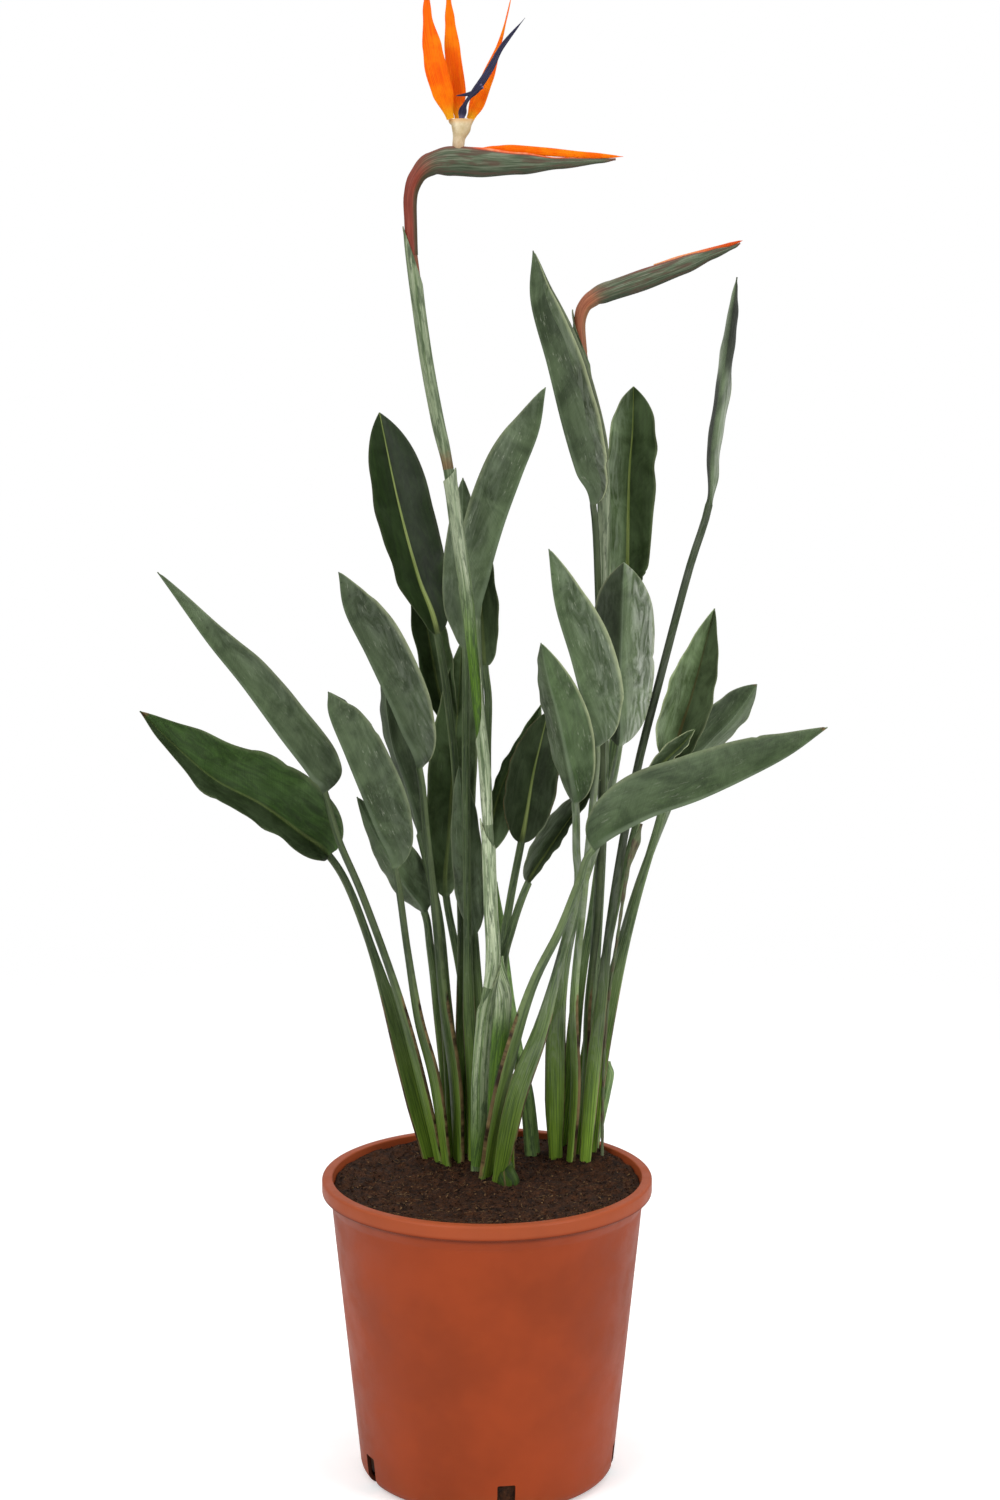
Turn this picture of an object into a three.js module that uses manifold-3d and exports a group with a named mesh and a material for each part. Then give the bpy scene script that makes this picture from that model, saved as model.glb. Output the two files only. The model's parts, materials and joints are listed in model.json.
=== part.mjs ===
// Potted bird of paradise: a Strelitzia reginae with two flower stems, grown in a plastic nursery pot.
// Millimetres, +Z up. The pot stands on z = 0, its axis is the Z axis, and the front is towards -Y.
// A leaf is one body: stalk, rib and both half blades. Its route is a list of places chosen by hand.
import * as THREE from 'three';
import { mergeVertices } from 'three/addons/utils/BufferGeometryUtils.js';
import Module from 'manifold-3d';

const wasm = await Module();
wasm.setup();

// Driving dimensions of the pot.
const RIM_RADIUS = 140;
const POT_HEIGHT = 260;
const FOOT_RADIUS = 109;
const NECK_RADIUS = 132;
const WALL = 3;
const FLOOR = 3.5;
const CORNER_RADIUS = 12;
const RIM_BAND_HEIGHT = 12;
const RIM_STEP_HEIGHT = 10;
const RIM_WIDTH = 9;
const RIM_ROUNDING = 2.5;
const POT_SEGMENTS = 48;
const SLOT_COUNT = 5;
const SLOT_WIDTH = 15;
const SLOT_TOP = 28;
const SLOT_INNER_RADIUS = 100;
const FIRST_SLOT_ANGLE = 8.5;

// Driving dimensions of the soil.
const GAP = 0.35;
const SOIL_LEVEL = 249;
const SOIL_MOUND = 5;
const SOIL_MOUND_SPREAD = 30;
const SOIL_ROUGHNESS = 0.9;
const SOIL_SIDE_ROOM = 0.5;
const SOIL_SHOULDER = 3;
const SOIL_SEGMENTS = 30;
const SOIL_RINGS = [0.93, 0.7, 0.42, 0.15];
const CLUMPS = [[-32, 66], [4, 28], [80, 74]];

// Driving dimensions of the leaves.
const STALK_RADIUS = 4;
const STALK_TOP_RADIUS = 3.2;
const SHEATH_HALF_WIDTH = 6.5;
const SHEATH_FULL_UP_TO = 90;
const SHEATH_FADE = 120;
const STALK_STEPS = 5;
const BLADE_STEPS = [0.04, 0.11, 0.21, 0.33, 0.46, 0.59, 0.72, 0.84, 0.94, 1];
const EDGE_HALF_THICKNESS = 0.5;
const BLADE_HALF_THICKNESS = 0.8;
const TIP_HALF_WIDTH = 0.8;
const TIP_RIB = 0.7;
const CUP_DEGREES = 14;
const HIDDEN_HALF = -125;
const DEFAULT_TAPER = 1.9;
const DEFAULT_WAVE = 0.9;
const DEFAULT_WAVES = 3;
const RIB_RISE = 0.3;
const RIB_BLENDS_AT = 2.4;
const FOOT_SHARE = 0.4;
const FOOT_RISE = 60;
const FIRST_RING_ANGLE = 162;
const RING_STEP_ANGLE = 36;

// Surface colours.
const LEAF_FACE_GREEN = 0x2b3c24;
const LEAF_BACK_GREEN = 0x4d5c48;
const STEM_GREEN = 0x71835f;
const SPATHE_GREEN = 0x55604f;
const SHOOT_GREEN = 0x6d7d2c;
const SHEATH_PALE = 0xa3ad83;
const SEPAL_ORANGE = 0xf56a08;
const ARROW_BLUE = 0x2b2748;
const CREAM = 0xdcc8a0;
const DRY_BROWN = 0x6f5338;
const POT_TERRACOTTA = 0xa94a29;
const SOIL_BROWN = 0x33211a;

const FRONT = new THREE.Vector3(0, -1, 0);
const BACK = new THREE.Vector3(0, 1, 0);
const degrees = THREE.MathUtils.degToRad;
const smooth = (x) => THREE.MathUtils.smoothstep(x, 0, 1);
const place = ([x, y, z]) => new THREE.Vector3(x, y, z);

// Each leaf: the stalk's places from its foot in the soil, then the blade's places from its base to
// its tip; for the left and right half blade the width and how far it turns from the picture plane
// towards the front; upper face to the front (1) or away from it (-1); where along it is widest.
const LEAVES = {
  leaf_left_high: {
    stalk: [[-38, 58, 236], [-52, 57, 304], [-75, 38, 404], [-103, 14, 495], [-123, -5, 550]],
    blade: [[-134, -9, 591], [-142, -14, 609], [-166, -24, 643], [-196, -36, 685],
      [-226, -47, 723], [-263, -60, 778]],
    left: [31, HIDDEN_HALF], right: [26, 0], face: -1, widest: 0.3, sheath: 9,
  },
  leaf_left_low: {
    stalk: [[-48, 74, 236], [-66, 66, 320], [-86, 57, 400], [-114, 46, 489]],
    blade: [[-134, 34, 529], [-157, 16, 552], [-188, -5, 580], [-222, -30, 604],
      [-251, -54, 635], [-277, -78, 668]],
    left: [34, 62], right: [44, 2], face: 1, widest: 0.38, wave: 2.2, waves: 4, sheath: 9.5,
  },
  leaf_left_front: {
    stalk: [[-33, 54, 236], [-44, 46, 325], [-58, 38, 385], [-67, 20, 450]],
    blade: [[-76, -10, 527], [-90, -28, 570], [-111, -50, 627], [-125, -68, 664], [-126, -80, 684]],
    left: [31, HIDDEN_HALF], right: [33, 0], face: -1, widest: 0.34, taper: 1.6, sheath: 10,
  },
  leaf_left_inner: {
    stalk: [[-24, 62, 236], [-27, 58, 322], [-37, 50, 399], [-43, 36, 473], [-50, 22, 545]],
    blade: [[-56, 5, 609], [-70, -8, 653], [-93, -26, 705], [-113, -44, 746], [-118, -60, 778]],
    left: [32, HIDDEN_HALF], right: [32, 0], face: -1, widest: 0.42, sheath: 10, radius: 5,
  },
  leaf_left_tall: {
    stalk: [[-20, 82, 236], [-22, 86, 314], [-22, 84, 391], [-23, 80, 481], [-28, 74, 604]],
    blade: [[-42, 62, 714], [-59, 72, 764], [-76, 88, 826], [-92, 110, 899]],
    left: [32, 44], right: [32, 6], face: 1, widest: 0.58, taper: 2.6, wave: 1.4,
  },
  leaf_left_middle: {
    stalk: [[-30, 72, 236], [-31, 74, 317], [-36, 68, 395], [-41, 56, 469]],
    blade: [[-57, 42, 545], [-67, 36, 585], [-79, 28, 625], [-84, 20, 664], [-84, 12, 689]],
    left: [26, -60], right: [28, -40], face: -1, widest: 0.45,
  },
  leaf_left_short: {
    stalk: [[-38, 82, 236], [-35, 84, 314], [-43, 78, 393], [-49, 68, 440]],
    blade: [[-54, 58, 475], [-70, 42, 502], [-88, 20, 538], [-108, 0, 585]],
    left: [18, -20], right: [24, -20], face: -1, widest: 0.3,
  },
  leaf_left_shade: {
    stalk: [[-24, 93, 236], [-18, 108, 310], [-14, 120, 386], [-19, 126, 520]],
    blade: [[-33, 128, 620], [-43, 129, 659], [-51, 131, 702], [-58, 134, 745], [-62, 138, 779]],
    left: [26, 50], right: [26, 50], face: 1, widest: 0.45,
  },
  leaf_centre_low: {
    stalk: [[-13, 73, 236], [-12, 84, 316], [-19, 93, 392]],
    blade: [[-36, 99, 480], [-34, 102, 530], [-30, 106, 592], [-25, 110, 652], [-22, 114, 703]],
    left: [30, 32], right: [28, 28], face: 1, widest: 0.42,
  },
  leaf_centre_narrow: {
    stalk: [[-12, 60, 236], [-12, 60, 320], [-16, 57, 397], [-17, 55, 486], [-18, 52, 591]],
    blade: [[-18, 50, 702], [-21, 50, 745], [-20, 50, 795], [-20, 48, 847]],
    left: [17, -5], right: [18, -5], face: -1, widest: 0.42,
  },
  leaf_centre_short: {
    stalk: [[-2, 51, 236], [-2, 60, 322], [-8, 66, 398]],
    blade: [[-11, 68, 453], [-15, 66, 485], [-18, 64, 521], [-21, 63, 566], [-24, 63, 601]],
    left: [15, -20], right: [17, -20], face: -1, widest: 0.4,
  },
  leaf_centre_tall: {
    stalk: [[4, 40, 236], [-2, 42, 327], [3, 40, 402], [2, 38, 490], [-2, 36, 594], [-6, 33, 670]],
    blade: [[-8, 30, 730], [-1, 28, 768], [11, 24, 809], [27, 18, 851], [42, 12, 888], [48, 5, 923]],
    left: [33, 0], right: [31, HIDDEN_HALF], face: -1, widest: 0.5,
  },
  leaf_centre_back: {
    stalk: [[7, 66, 236], [3, 74, 318], [4, 84, 393], [1, 90, 499], [0, 92, 602], [1, 90, 653]],
    blade: [[-2, 86, 684], [-4, 84, 723], [-8, 82, 775], [-13, 78, 826]],
    left: [20, 20], right: [24, 40], face: 1, widest: 0.45,
  },
  leaf_centre_behind: {
    stalk: [[14, 52, 236], [9, 56, 322], [9, 60, 397], [5, 67, 466]],
    blade: [[1, 72, 525], [8, 76, 569], [24, 80, 608], [46, 88, 650]],
    left: [26, 58], right: [28, 30], face: 1, widest: 0.45,
  },
  leaf_centre_dark: {
    stalk: [[16, 36, 236], [12, 30, 330], [13, 36, 438], [19, 38, 485]],
    blade: [[29, 40, 539], [34, 43, 566], [39, 48, 596], [46, 54, 625], [52, 60, 649]],
    left: [33, 34], right: [27, 26], face: 1, widest: 0.42,
  },
  leaf_centre_reaching: {
    stalk: [[20, 24, 236], [16, 24, 336], [13, 25, 426], [21, 22, 468]],
    blade: [[35, 22, 508], [52, 28, 535], [72, 36, 563], [96, 46, 592]],
    left: [27, 36], right: [17, 66], face: 1, widest: 0.4,
  },
  leaf_right_front: {
    stalk: [[7, 8, 236], [24, -8, 327], [45, -14, 389], [61, -20, 451], [75, -26, 512], [74, -26, 545]],
    blade: [[73, -24, 584], [66, -28, 621], [58, -36, 659], [49, -44, 693], [44, -52, 720]],
    left: [25, -48], right: [27, -8], face: -1, widest: 0.36, taper: 1.5, sheath: 9,
  },
  leaf_right_wide: {
    stalk: [[-5, 20, 236], [13, 0, 339], [36, -20, 425], [60, -36, 480], [75, -48, 522]],
    blade: [[87, -56, 552], [128, -66, 579], [172, -75, 597], [211, -84, 617],
      [242, -94, 636], [270, -104, 659]],
    left: [37, 0], right: [34, HIDDEN_HALF], face: -1, widest: 0.24, sheath: 12.5, radius: 5.2,
  },
  leaf_right_inner: {
    stalk: [[72, 60, 236], [77, 60, 321], [75, 52, 399], [82, 34, 490], [89, 8, 581]],
    blade: [[91, -10, 630], [82, -20, 659], [70, -34, 704], [56, -50, 751], [50, -66, 797]],
    left: [30, HIDDEN_HALF], right: [36, 0], face: -1, widest: 0.4,
  },
  leaf_right_pale: {
    stalk: [[60, 70, 236], [59, 70, 318], [62, 68, 395], [79, 56, 486], [98, 44, 553]],
    blade: [[111, 30, 624], [111, 26, 663], [112, 18, 723], [113, 4, 780]],
    left: [32, -26], right: [33, -16], face: -1, widest: 0.48, taper: 2.8, sheath: 9,
  },
  leaf_right_tallest: {
    stalk: [[78, 69, 236], [86, 73, 314], [88, 69, 391], [96, 60, 481], [98, 50, 606], [94, 44, 745]],
    blade: [[89, 40, 825], [77, 38, 854], [65, 34, 892], [52, 28, 940], [37, 20, 993], [38, 14, 1033]],
    left: [30, -162], right: [32, 0], face: -1, widest: 0.42,
  },
  leaf_right_back: {
    stalk: [[62, 92, 236], [72, 97, 311], [79, 99, 387], [93, 100, 477], [107, 100, 600]],
    blade: [[119, 98, 735], [120, 98, 774], [121, 102, 842], [124, 107, 884], [125, 114, 921]],
    left: [32, 36], right: [30, 38], face: 1, widest: 0.56, taper: 2.6, wave: 1.4, waves: 5,
  },
  leaf_right_edge_on: {
    stalk: [[84, 57, 236], [90, 58, 317], [98, 58, 394], [108, 56, 484], [126, 54, 592],
      [148, 48, 686], [169, 43, 770]],
    blade: [[185, 40, 825], [187, 40, 871], [194, 36, 928], [200, 32, 977], [205, 28, 1012]],
    left: [30, -74], right: [30, -56], face: -1, widest: 0.4,
  },
  leaf_right_outer: {
    stalk: [[89, 67, 236], [96, 76, 316], [107, 79, 383], [129, 76, 482], [148, 70, 553]],
    blade: [[158, 64, 602], [164, 64, 629], [174, 68, 660], [183, 74, 692], [194, 82, 734]],
    left: [31, 32], right: [30, 48], face: 1, widest: 0.42,
  },
  leaf_right_far: {
    stalk: [[84, 88, 236], [86, 89, 262], [92, 97, 312], [104, 101, 382], [127, 103, 474], [155, 103, 552]],
    blade: [[174, 101, 595], [191, 100, 615], [213, 101, 638], [233, 104, 666]],
    left: [26, -35], right: [22, -42], face: -1, widest: 0.5, taper: 2.8,
  },
  leaf_right_rolled: {
    stalk: [[73, 92, 236], [84, 96, 312], [96, 94, 389], [113, 86, 480], [127, 73, 544]],
    blade: [[138, 59, 586], [151, 49, 607], [165, 40, 623], [175, 34, 637]],
    left: [11, 10], right: [9, 60], face: 1, widest: 0.5, radius: 3.2,
  },
};

// Shoots and sheaths without a blade: places, half widths across, half depths front to back.
const SHOOTS = {
  shoot_front: {
    path: [[19, 3, 236], [18, 3, 252], [16, 2, 266], [16, 2, 278]],
    across: [7, 9.5, 6.5, 0.9], deep: [5, 5.5, 3.5, 0.9], colour: SHOOT_GREEN,
  },
  shoot_behind: {
    path: [[41, 88, 236], [35, 86, 300], [25, 72, 353], [17, 54, 414], [13, 48, 459], [8, 45, 504]],
    across: [7, 6.5, 5.5, 4.5, 3.2, 0.9], deep: [6, 6, 5, 4, 3, 0.9], colour: LEAF_BACK_GREEN,
  },
  shoot_side: {
    path: [[92, 76, 236], [94, 79, 262], [99, 84, 285], [103, 88, 305], [106, 90, 322], [106, 90, 334]],
    across: [4.2, 4.2, 4.5, 5, 5.2, 2.2], deep: [4.2, 4.2, 4.5, 4.5, 4.5, 2], colour: SHOOT_GREEN,
  },
  sheath_pale: {
    path: [[5, 26, 236], [7, 14, 321], [11, 5, 376], [14, 0, 412], [13, -2, 450]],
    across: [4, 6.5, 7.5, 7, 0.9], deep: [3.5, 4, 4, 3.5, 0.9], colour: SHEATH_PALE,
  },
};

// The open flower's stem with the sleeves that clasp it, each cut aslant to a pointed mouth.
const STEM_OPEN_FLOWER = {
  path: [[-10, 36, 236], [-7, 30, 290], [-6, 26, 335], [-2, 20, 389], [5, 12, 443], [3, 6, 496], [-1, 0, 599],
    [-8, 0, 666], [-16, 0, 750], [-24, 0, 807], [-31, 0, 856], [-40, 0, 897], [-50, 0, 953], [-60, 0, 1029]],
  radii: [5, 6, 6, 6, 5.4, 5, 4.2, 4.2, 4.6, 4.8, 4.4, 4.4, 4.4, 4.4],
  sleeves: [[20, 170, 1], [180, 305, 1.2], [300, 370, 0.9], [420, 590, 1.2], [620, 800, 1]],
};
const STEM_CLOSED_FLOWER = {
  path: [[77, 81, 236], [85, 84, 303], [89, 83, 349], [94, 78, 439], [98, 72, 528], [99, 67, 598],
    [98, 63, 658], [98, 58, 761], [98, 56, 828], [95, 54, 870], [86, 52, 911], [79, 50, 950]],
  radii: [5, 5, 5, 4.8, 4.6, 4.4, 4.2, 4.4, 4.6, 4.6, 4.2, 4.2],
  sleeves: [[330, 620, 1], [640, 725, 0.9]],
};
const SLEEVE_SLANT_DEGREES = 62;
const SLEEVE_PLACES = 4;
const SLEEVE_FOOT_SINK = 0.2;
const MOUTH_BELOW_END = 3;
const HALVING_STEPS = 24;

// Boat-shaped flower sheaths on their bent necks: places, half heights and how far the top is open.
const SPATHE_OPEN = {
  path: [[-60, 0, 1030], [-61, 0, 1055], [-61, 0, 1076], [-56, 0, 1091], [-45, 0, 1101], [-29, 0, 1104],
    [-6, 0, 1103], [27, 0, 1102], [59, 0, 1102], [91, 0, 1104], [104, 0, 1105]],
  heights: [4.8, 5.2, 5.6, 6.6, 9.2, 12.2, 12.3, 9.2, 4.8, 2.3, 0.9],
  open: [0, 0, 0, 0, 0, 0.5, 1, 1, 1, 0.6, 0],
};
const SPATHE_CLOSED = {
  path: [[79, 50, 951], [77, 50, 973], [80, 50, 987], [88, 50, 995], [99, 50, 1000], [128, 50, 1010],
    [162, 50, 1022], [186, 50, 1031], [203, 50, 1037], [209, 50, 1040]],
  heights: [4.4, 4.8, 5.6, 6.8, 8.4, 9.2, 7.6, 4.4, 2, 0.9],
  open: [0, 0, 0, 0, 0, 0.3, 0.8, 0.8, 0.4, 0],
};
const SPATHE_FLATNESS = 0.66;
const SPATHE_FLATTENS_BY = 0.45;
const SPATHE_STEPS_PER_PLACE = 1.5;
const SPATHE_OUTER_ANGLES = [65, 28, -12, -52, -90, -128, -168, -208, -245];
const SPATHE_TOP_ANGLES = [-256, -270, -284];
const SPATHE_CHANNEL = [[-0.5, 0.05], [0, -0.35], [0.5, 0.05]];

// Petals: places, half widths, half thickness, colour.
const PETALS = {
  sepal_left: {
    path: [[-28.5, -2, 1136.5], [-35, -4, 1158], [-40, -4, 1175], [-43, -3, 1192],
      [-47, 0, 1218], [-47, 2, 1243]],
    widths: [3.2, 8.6, 9, 7.8, 3.6, 0.8], deep: 1.3, colour: SEPAL_ORANGE,
  },
  sepal_centre: {
    path: [[-22, 4, 1136.5], [-24, 7, 1160], [-27, 7, 1190], [-29, 6, 1214], [-30, 5, 1230], [-30, 4, 1245]],
    widths: [3.2, 7.6, 6.4, 4, 2, 0.8], deep: 1.3, colour: SEPAL_ORANGE,
  },
  sepal_right: {
    path: [[-13, 1, 1136.5], [-7, 2, 1150], [1, 3, 1169], [11, 3, 1197], [16, 2, 1215], [20, 2, 1232]],
    widths: [3.2, 6.2, 5, 2.4, 1.2, 0.8], deep: 1.6, colour: SEPAL_ORANGE,
  },
  petal_in_open_spathe: {
    path: [[4, 0, 1113], [22, 0, 1113], [47, 0, 1111], [83, 0, 1108], [110, 0, 1107]],
    widths: [1, 3.4, 3.4, 2.6, 0.8], deep: 2.2, colour: SEPAL_ORANGE,
  },
  petal_in_closed_spathe: {
    path: [[138, 50, 1022], [160, 50, 1028], [180, 50, 1033], [198, 50, 1038], [211, 50, 1042]],
    widths: [0.9, 2, 2.2, 1.8, 0.8], deep: 1.8, colour: SEPAL_ORANGE,
  },
};
const BLOOM_BASE = {
  path: [[-23, 0, 1106], [-22, 0, 1120], [-20, 1, 1130], [-20, 2, 1136]],
  widths: [4.5, 5, 8, 10.5], deep: 6,
};
const ARROW = {
  path: [[-20, -2, 1136.6], [-18, -8, 1145], [-14, -10, 1152], [-7, -10, 1160], [3, -9, 1175], [13, -8, 1193],
    [31, -6, 1215]],
  widths: [1.4, 1.6, 2, 4, 3.8, 2.6, 0.7],
};
const ARROW_BARB = {
  path: [[-3, -10, 1162], [-12, -10, 1156], [-24, -10, 1154]],
  widths: [3, 2.2, 0.7],
};
const ARROW_HALF_THICKNESS = 1.8;
const PETAL_SIDES = 8;
const STEM_SIDES = 8;
const PETAL_STEPS = 9;
const ARROW_BARB_STEPS = 4;
const SHOOT_STEPS = 7;
const DRIED_STALK_STEPS = 9;

// A thin withered stalk that still holds a scrap of its blade.
const DRIED_STALK = {
  path: [[100, 62, 236], [101, 68, 330], [105, 70, 394], [113, 60, 459], [120, 50, 513], [126, 44, 536],
    [131, 40, 555]],
  across: [1.5, 1.5, 1.5, 1.5, 2, 4, 1.2], deep: [1.5, 1.5, 1.5, 1.4, 1.4, 1.2, 0.9], colour: DRY_BROWN,
};

// Turns a closed, outward-facing geometry into a solid for joining and cutting.
function solidOf(geometry) {
  const bare = geometry.clone();
  bare.deleteAttribute('normal');
  bare.deleteAttribute('uv');
  const merged = mergeVertices(bare, 1e-4);
  return new wasm.Manifold(new wasm.Mesh({
    numProp: 3,
    vertProperties: new Float32Array(merged.attributes.position.array),
    triVerts: new Uint32Array(merged.index.array),
  }));
}

function geometryOf(solid) {
  const mesh = solid.getMesh();
  const geometry = new THREE.BufferGeometry();
  geometry.setAttribute('position', new THREE.BufferAttribute(new Float32Array(mesh.vertProperties), 3));
  geometry.setIndex([...mesh.triVerts]);
  return geometry;
}

// Joins a row of closed rings into one closed skin. The quads of the second half of each ring are
// split the other way round, so that a thin blade is split alike on both faces.
function loft(rings) {
  const count = rings[0].length;
  const points = rings.flat();
  const indices = [];
  for (let k = 0; k + 1 < rings.length; k += 1) {
    for (let j = 0; j < count; j += 1) {
      const a = k * count + j;
      const b = k * count + ((j + 1) % count);
      const c = b + count;
      const d = a + count;
      if (j < count / 2) indices.push(a, b, c, a, c, d);
      else indices.push(a, b, d, b, c, d);
    }
  }
  const lastStart = (rings.length - 1) * count;
  for (const start of [0, lastStart]) {
    const ring = points.slice(start, start + count);
    const hub = points.push(ring.reduce((sum, p) => sum.add(p), new THREE.Vector3()).divideScalar(count)) - 1;
    for (let j = 0; j < count; j += 1) {
      const a = start + j;
      const b = start + ((j + 1) % count);
      indices.push(hub, ...(start === 0 ? [b, a] : [a, b]));
    }
  }
  return closedSkin(points, indices);
}

// Makes a geometry from points and triangles and turns it right side out.
function closedSkin(points, indices) {
  let volume = 0;
  for (let i = 0; i < indices.length; i += 3) {
    const [a, b, c] = [points[indices[i]], points[indices[i + 1]], points[indices[i + 2]]];
    volume += a.dot(b.clone().cross(c));
  }
  if (volume < 0) indices.reverse();
  const geometry = new THREE.BufferGeometry();
  geometry.setAttribute('position', new THREE.Float32BufferAttribute(points.flatMap((p) => p.toArray()), 3));
  geometry.setIndex(indices);
  return geometry;
}

// A smooth route through the places, with the values that belong to each place eased between them.
function routeThrough(places) {
  const curve = new THREE.CatmullRomCurve3(places.map(place), false, 'catmullrom', 0.5);
  const spans = places.length - 1;
  const at = (t) => ({ point: curve.getPoint(t), tangent: curve.getTangent(t) });
  const value = (list, t) => {
    const k = Math.min(Math.floor(t * spans), spans - 1);
    const f = t * spans - k;
    return THREE.MathUtils.lerp(list[k], list[k + 1], f * f * (3 - 2 * f));
  };
  return { at, value, spans };
}

// The blade's width along its length: round at the base, then a long taper to the tip.
function bladeWidth(s, widest, taper) {
  if (s < widest) return Math.sqrt(1 - (1 - s / widest) ** 2);
  return 1 - ((s - widest) / (1 - widest)) ** taper;
}

// One ring of a leaf, from the left edge over the upper face to the right edge and back underneath.
function leafRing(leaf, { point, tangent }, along, grow) {
  const side = tangent.clone().cross(FRONT).normalize();
  const front = side.clone().cross(tangent).normalize();
  const half = (sign, [width, lift]) => {
    const turn = degrees(lift);
    const out = side.clone().multiplyScalar(sign * Math.cos(turn)).addScaledVector(front, Math.sin(turn));
    const up = out.clone().cross(tangent).multiplyScalar(sign * leaf.face);
    return { out, up, width, wave: -sign * along.wave };
  };
  const left = half(-1, leaf.left);
  const right = half(1, leaf.right);
  const up = left.up.clone().add(right.up).normalize();
  const across = tangent.clone().cross(up).multiplyScalar(leaf.face);
  const rib = along.rib + grow;
  const spread = smooth((along.width * Math.max(left.width, right.width)) / (RIB_BLENDS_AT * rib));
  const bladePoint = ({ out, up: rise, width, wave }, share, face) => {
    const reach = width * along.width * share + grow + (share === 1 ? TIP_HALF_WIDTH : 0);
    const cup = degrees(CUP_DEGREES) * share;
    const thick = grow + (share === 1 ? EDGE_HALF_THICKNESS : BLADE_HALF_THICKNESS);
    const lift = reach * Math.sin(cup) + wave * share * share + face * thick;
    return point.clone().addScaledVector(out, reach * Math.cos(cup)).addScaledVector(rise, lift);
  };
  const flat = [
    bladePoint(left, 1, 1), bladePoint(left, 0.5, 1), point.clone().addScaledVector(up, RIB_RISE * rib),
    bladePoint(right, 0.5, 1), bladePoint(right, 1, 1), bladePoint(right, 1, -1), bladePoint(right, 0.5, -1),
    point.clone().addScaledVector(up, -rib), bladePoint(left, 0.5, -1), bladePoint(left, 1, -1),
  ];
  return flat.map((target, k) => {
    const angle = degrees(FIRST_RING_ANGLE - RING_STEP_ANGLE * k);
    const round = point.clone()
      .addScaledVector(across, Math.cos(angle) * (along.across + grow))
      .addScaledVector(up, Math.sin(angle) * rib);
    return round.lerp(target, spread);
  });
}

function leafSolid(leaf, grow = 0) {
  const route = routeThrough([...leaf.stalk, ...leaf.blade]);
  const base = leaf.stalk.length / route.spans;
  const stem = leaf.radius ?? STALK_RADIUS;
  const rings = [];
  for (let k = 0; k < STALK_STEPS; k += 1) {
    const share = k / STALK_STEPS;
    const spot = route.at(share * base);
    const height = spot.point.z - SOIL_LEVEL;
    const rib = THREE.MathUtils.lerp(stem, STALK_TOP_RADIUS, share);
    const opening = FOOT_SHARE + (1 - FOOT_SHARE) * smooth(height / FOOT_RISE);
    const clasp = opening * (1 - smooth((height - SHEATH_FULL_UP_TO) / SHEATH_FADE));
    const across = rib + ((leaf.sheath ?? SHEATH_HALF_WIDTH) - rib) * clasp;
    if (k === 0) spot.point.z -= grow;
    rings.push(leafRing(leaf, spot, { rib, across, width: 0, wave: 0 }, grow));
  }
  for (const s of [0, ...BLADE_STEPS]) {
    const spot = route.at(base + s * (1 - base));
    const rib = THREE.MathUtils.lerp(STALK_TOP_RADIUS, TIP_RIB, Math.sqrt(s));
    const ripple = Math.sin(2 * Math.PI * (leaf.waves ?? DEFAULT_WAVES) * s) * Math.sin(Math.PI * s);
    const wave = (leaf.wave ?? DEFAULT_WAVE) * ripple;
    const width = bladeWidth(s, leaf.widest, leaf.taper ?? DEFAULT_TAPER);
    rings.push(leafRing(leaf, spot, { rib, across: rib, width, wave }, grow));
  }
  return solidOf(loft(rings));
}

// A round or flattened body along a route: stems, shoots, petals.
function ovalSolid({ path, across, deep }, sides, steps, grow = 0) {
  const route = routeThrough(path);
  const rings = [];
  for (let k = 0; k <= steps; k += 1) {
    const t = k / steps;
    const { point, tangent } = route.at(t);
    const side = tangent.clone().cross(FRONT).normalize();
    const front = side.clone().cross(tangent).normalize();
    const end = k === 0 ? -grow : k === steps ? grow : 0;
    point.addScaledVector(tangent, end);
    rings.push(Array.from({ length: sides }, (_, j) => {
      const angle = (2 * Math.PI * (j + 0.5)) / sides;
      return point.clone()
        .addScaledVector(side, Math.cos(angle) * (route.value(across, t) + grow))
        .addScaledVector(front, Math.sin(angle) * (route.value(deep, t) + grow));
    }));
  }
  return solidOf(loft(rings));
}

// A flower stem with its sleeves. Each sleeve's mouth is cut by a slanting plane.
function stemSolid({ path, radii, sleeves }, grow = 0) {
  let stem = ovalSolid({ path, across: radii, deep: radii }, STEM_SIDES, path.length, grow);
  const route = routeThrough(path);
  const shareAtHeight = (z) => {
    let [low, high] = [0, 1];
    for (let i = 0; i < HALVING_STEPS; i += 1) {
      const middle = (low + high) / 2;
      if (route.at(middle).point.z < z) low = middle;
      else high = middle;
    }
    return low;
  };
  sleeves.forEach(([from, to, thick], number) => {
    const start = shareAtHeight(path[0][2] + from);
    const end = shareAtHeight(path[0][2] + to);
    const places = Array.from({ length: SLEEVE_PLACES }, (_, k) => {
      const t = THREE.MathUtils.lerp(start, end, k / (SLEEVE_PLACES - 1));
      const swell = k === 0 ? -SLEEVE_FOOT_SINK : thick;
      return { point: route.at(t).point, radius: route.value(radii, t) + swell };
    });
    const across = places.map(({ radius }) => radius);
    const shape = { path: places.map(({ point }) => point.toArray()), across, deep: across };
    const sleeve = ovalSolid(shape, STEM_SIDES, SLEEVE_PLACES - 1, grow);
    const { point, tangent } = route.at(end);
    const slant = degrees(SLEEVE_SLANT_DEGREES);
    const sideways = new THREE.Vector3(number % 2 ? 1 : -1, 0, 0);
    const cut = tangent.clone().multiplyScalar(-Math.cos(slant)).addScaledVector(sideways, Math.sin(slant));
    const middle = point.addScaledVector(tangent, -MOUTH_BELOW_END * across.at(-1));
    stem = stem.add(sleeve.trimByPlane(cut.toArray(), cut.dot(middle)));
  });
  return stem;
}

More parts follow.
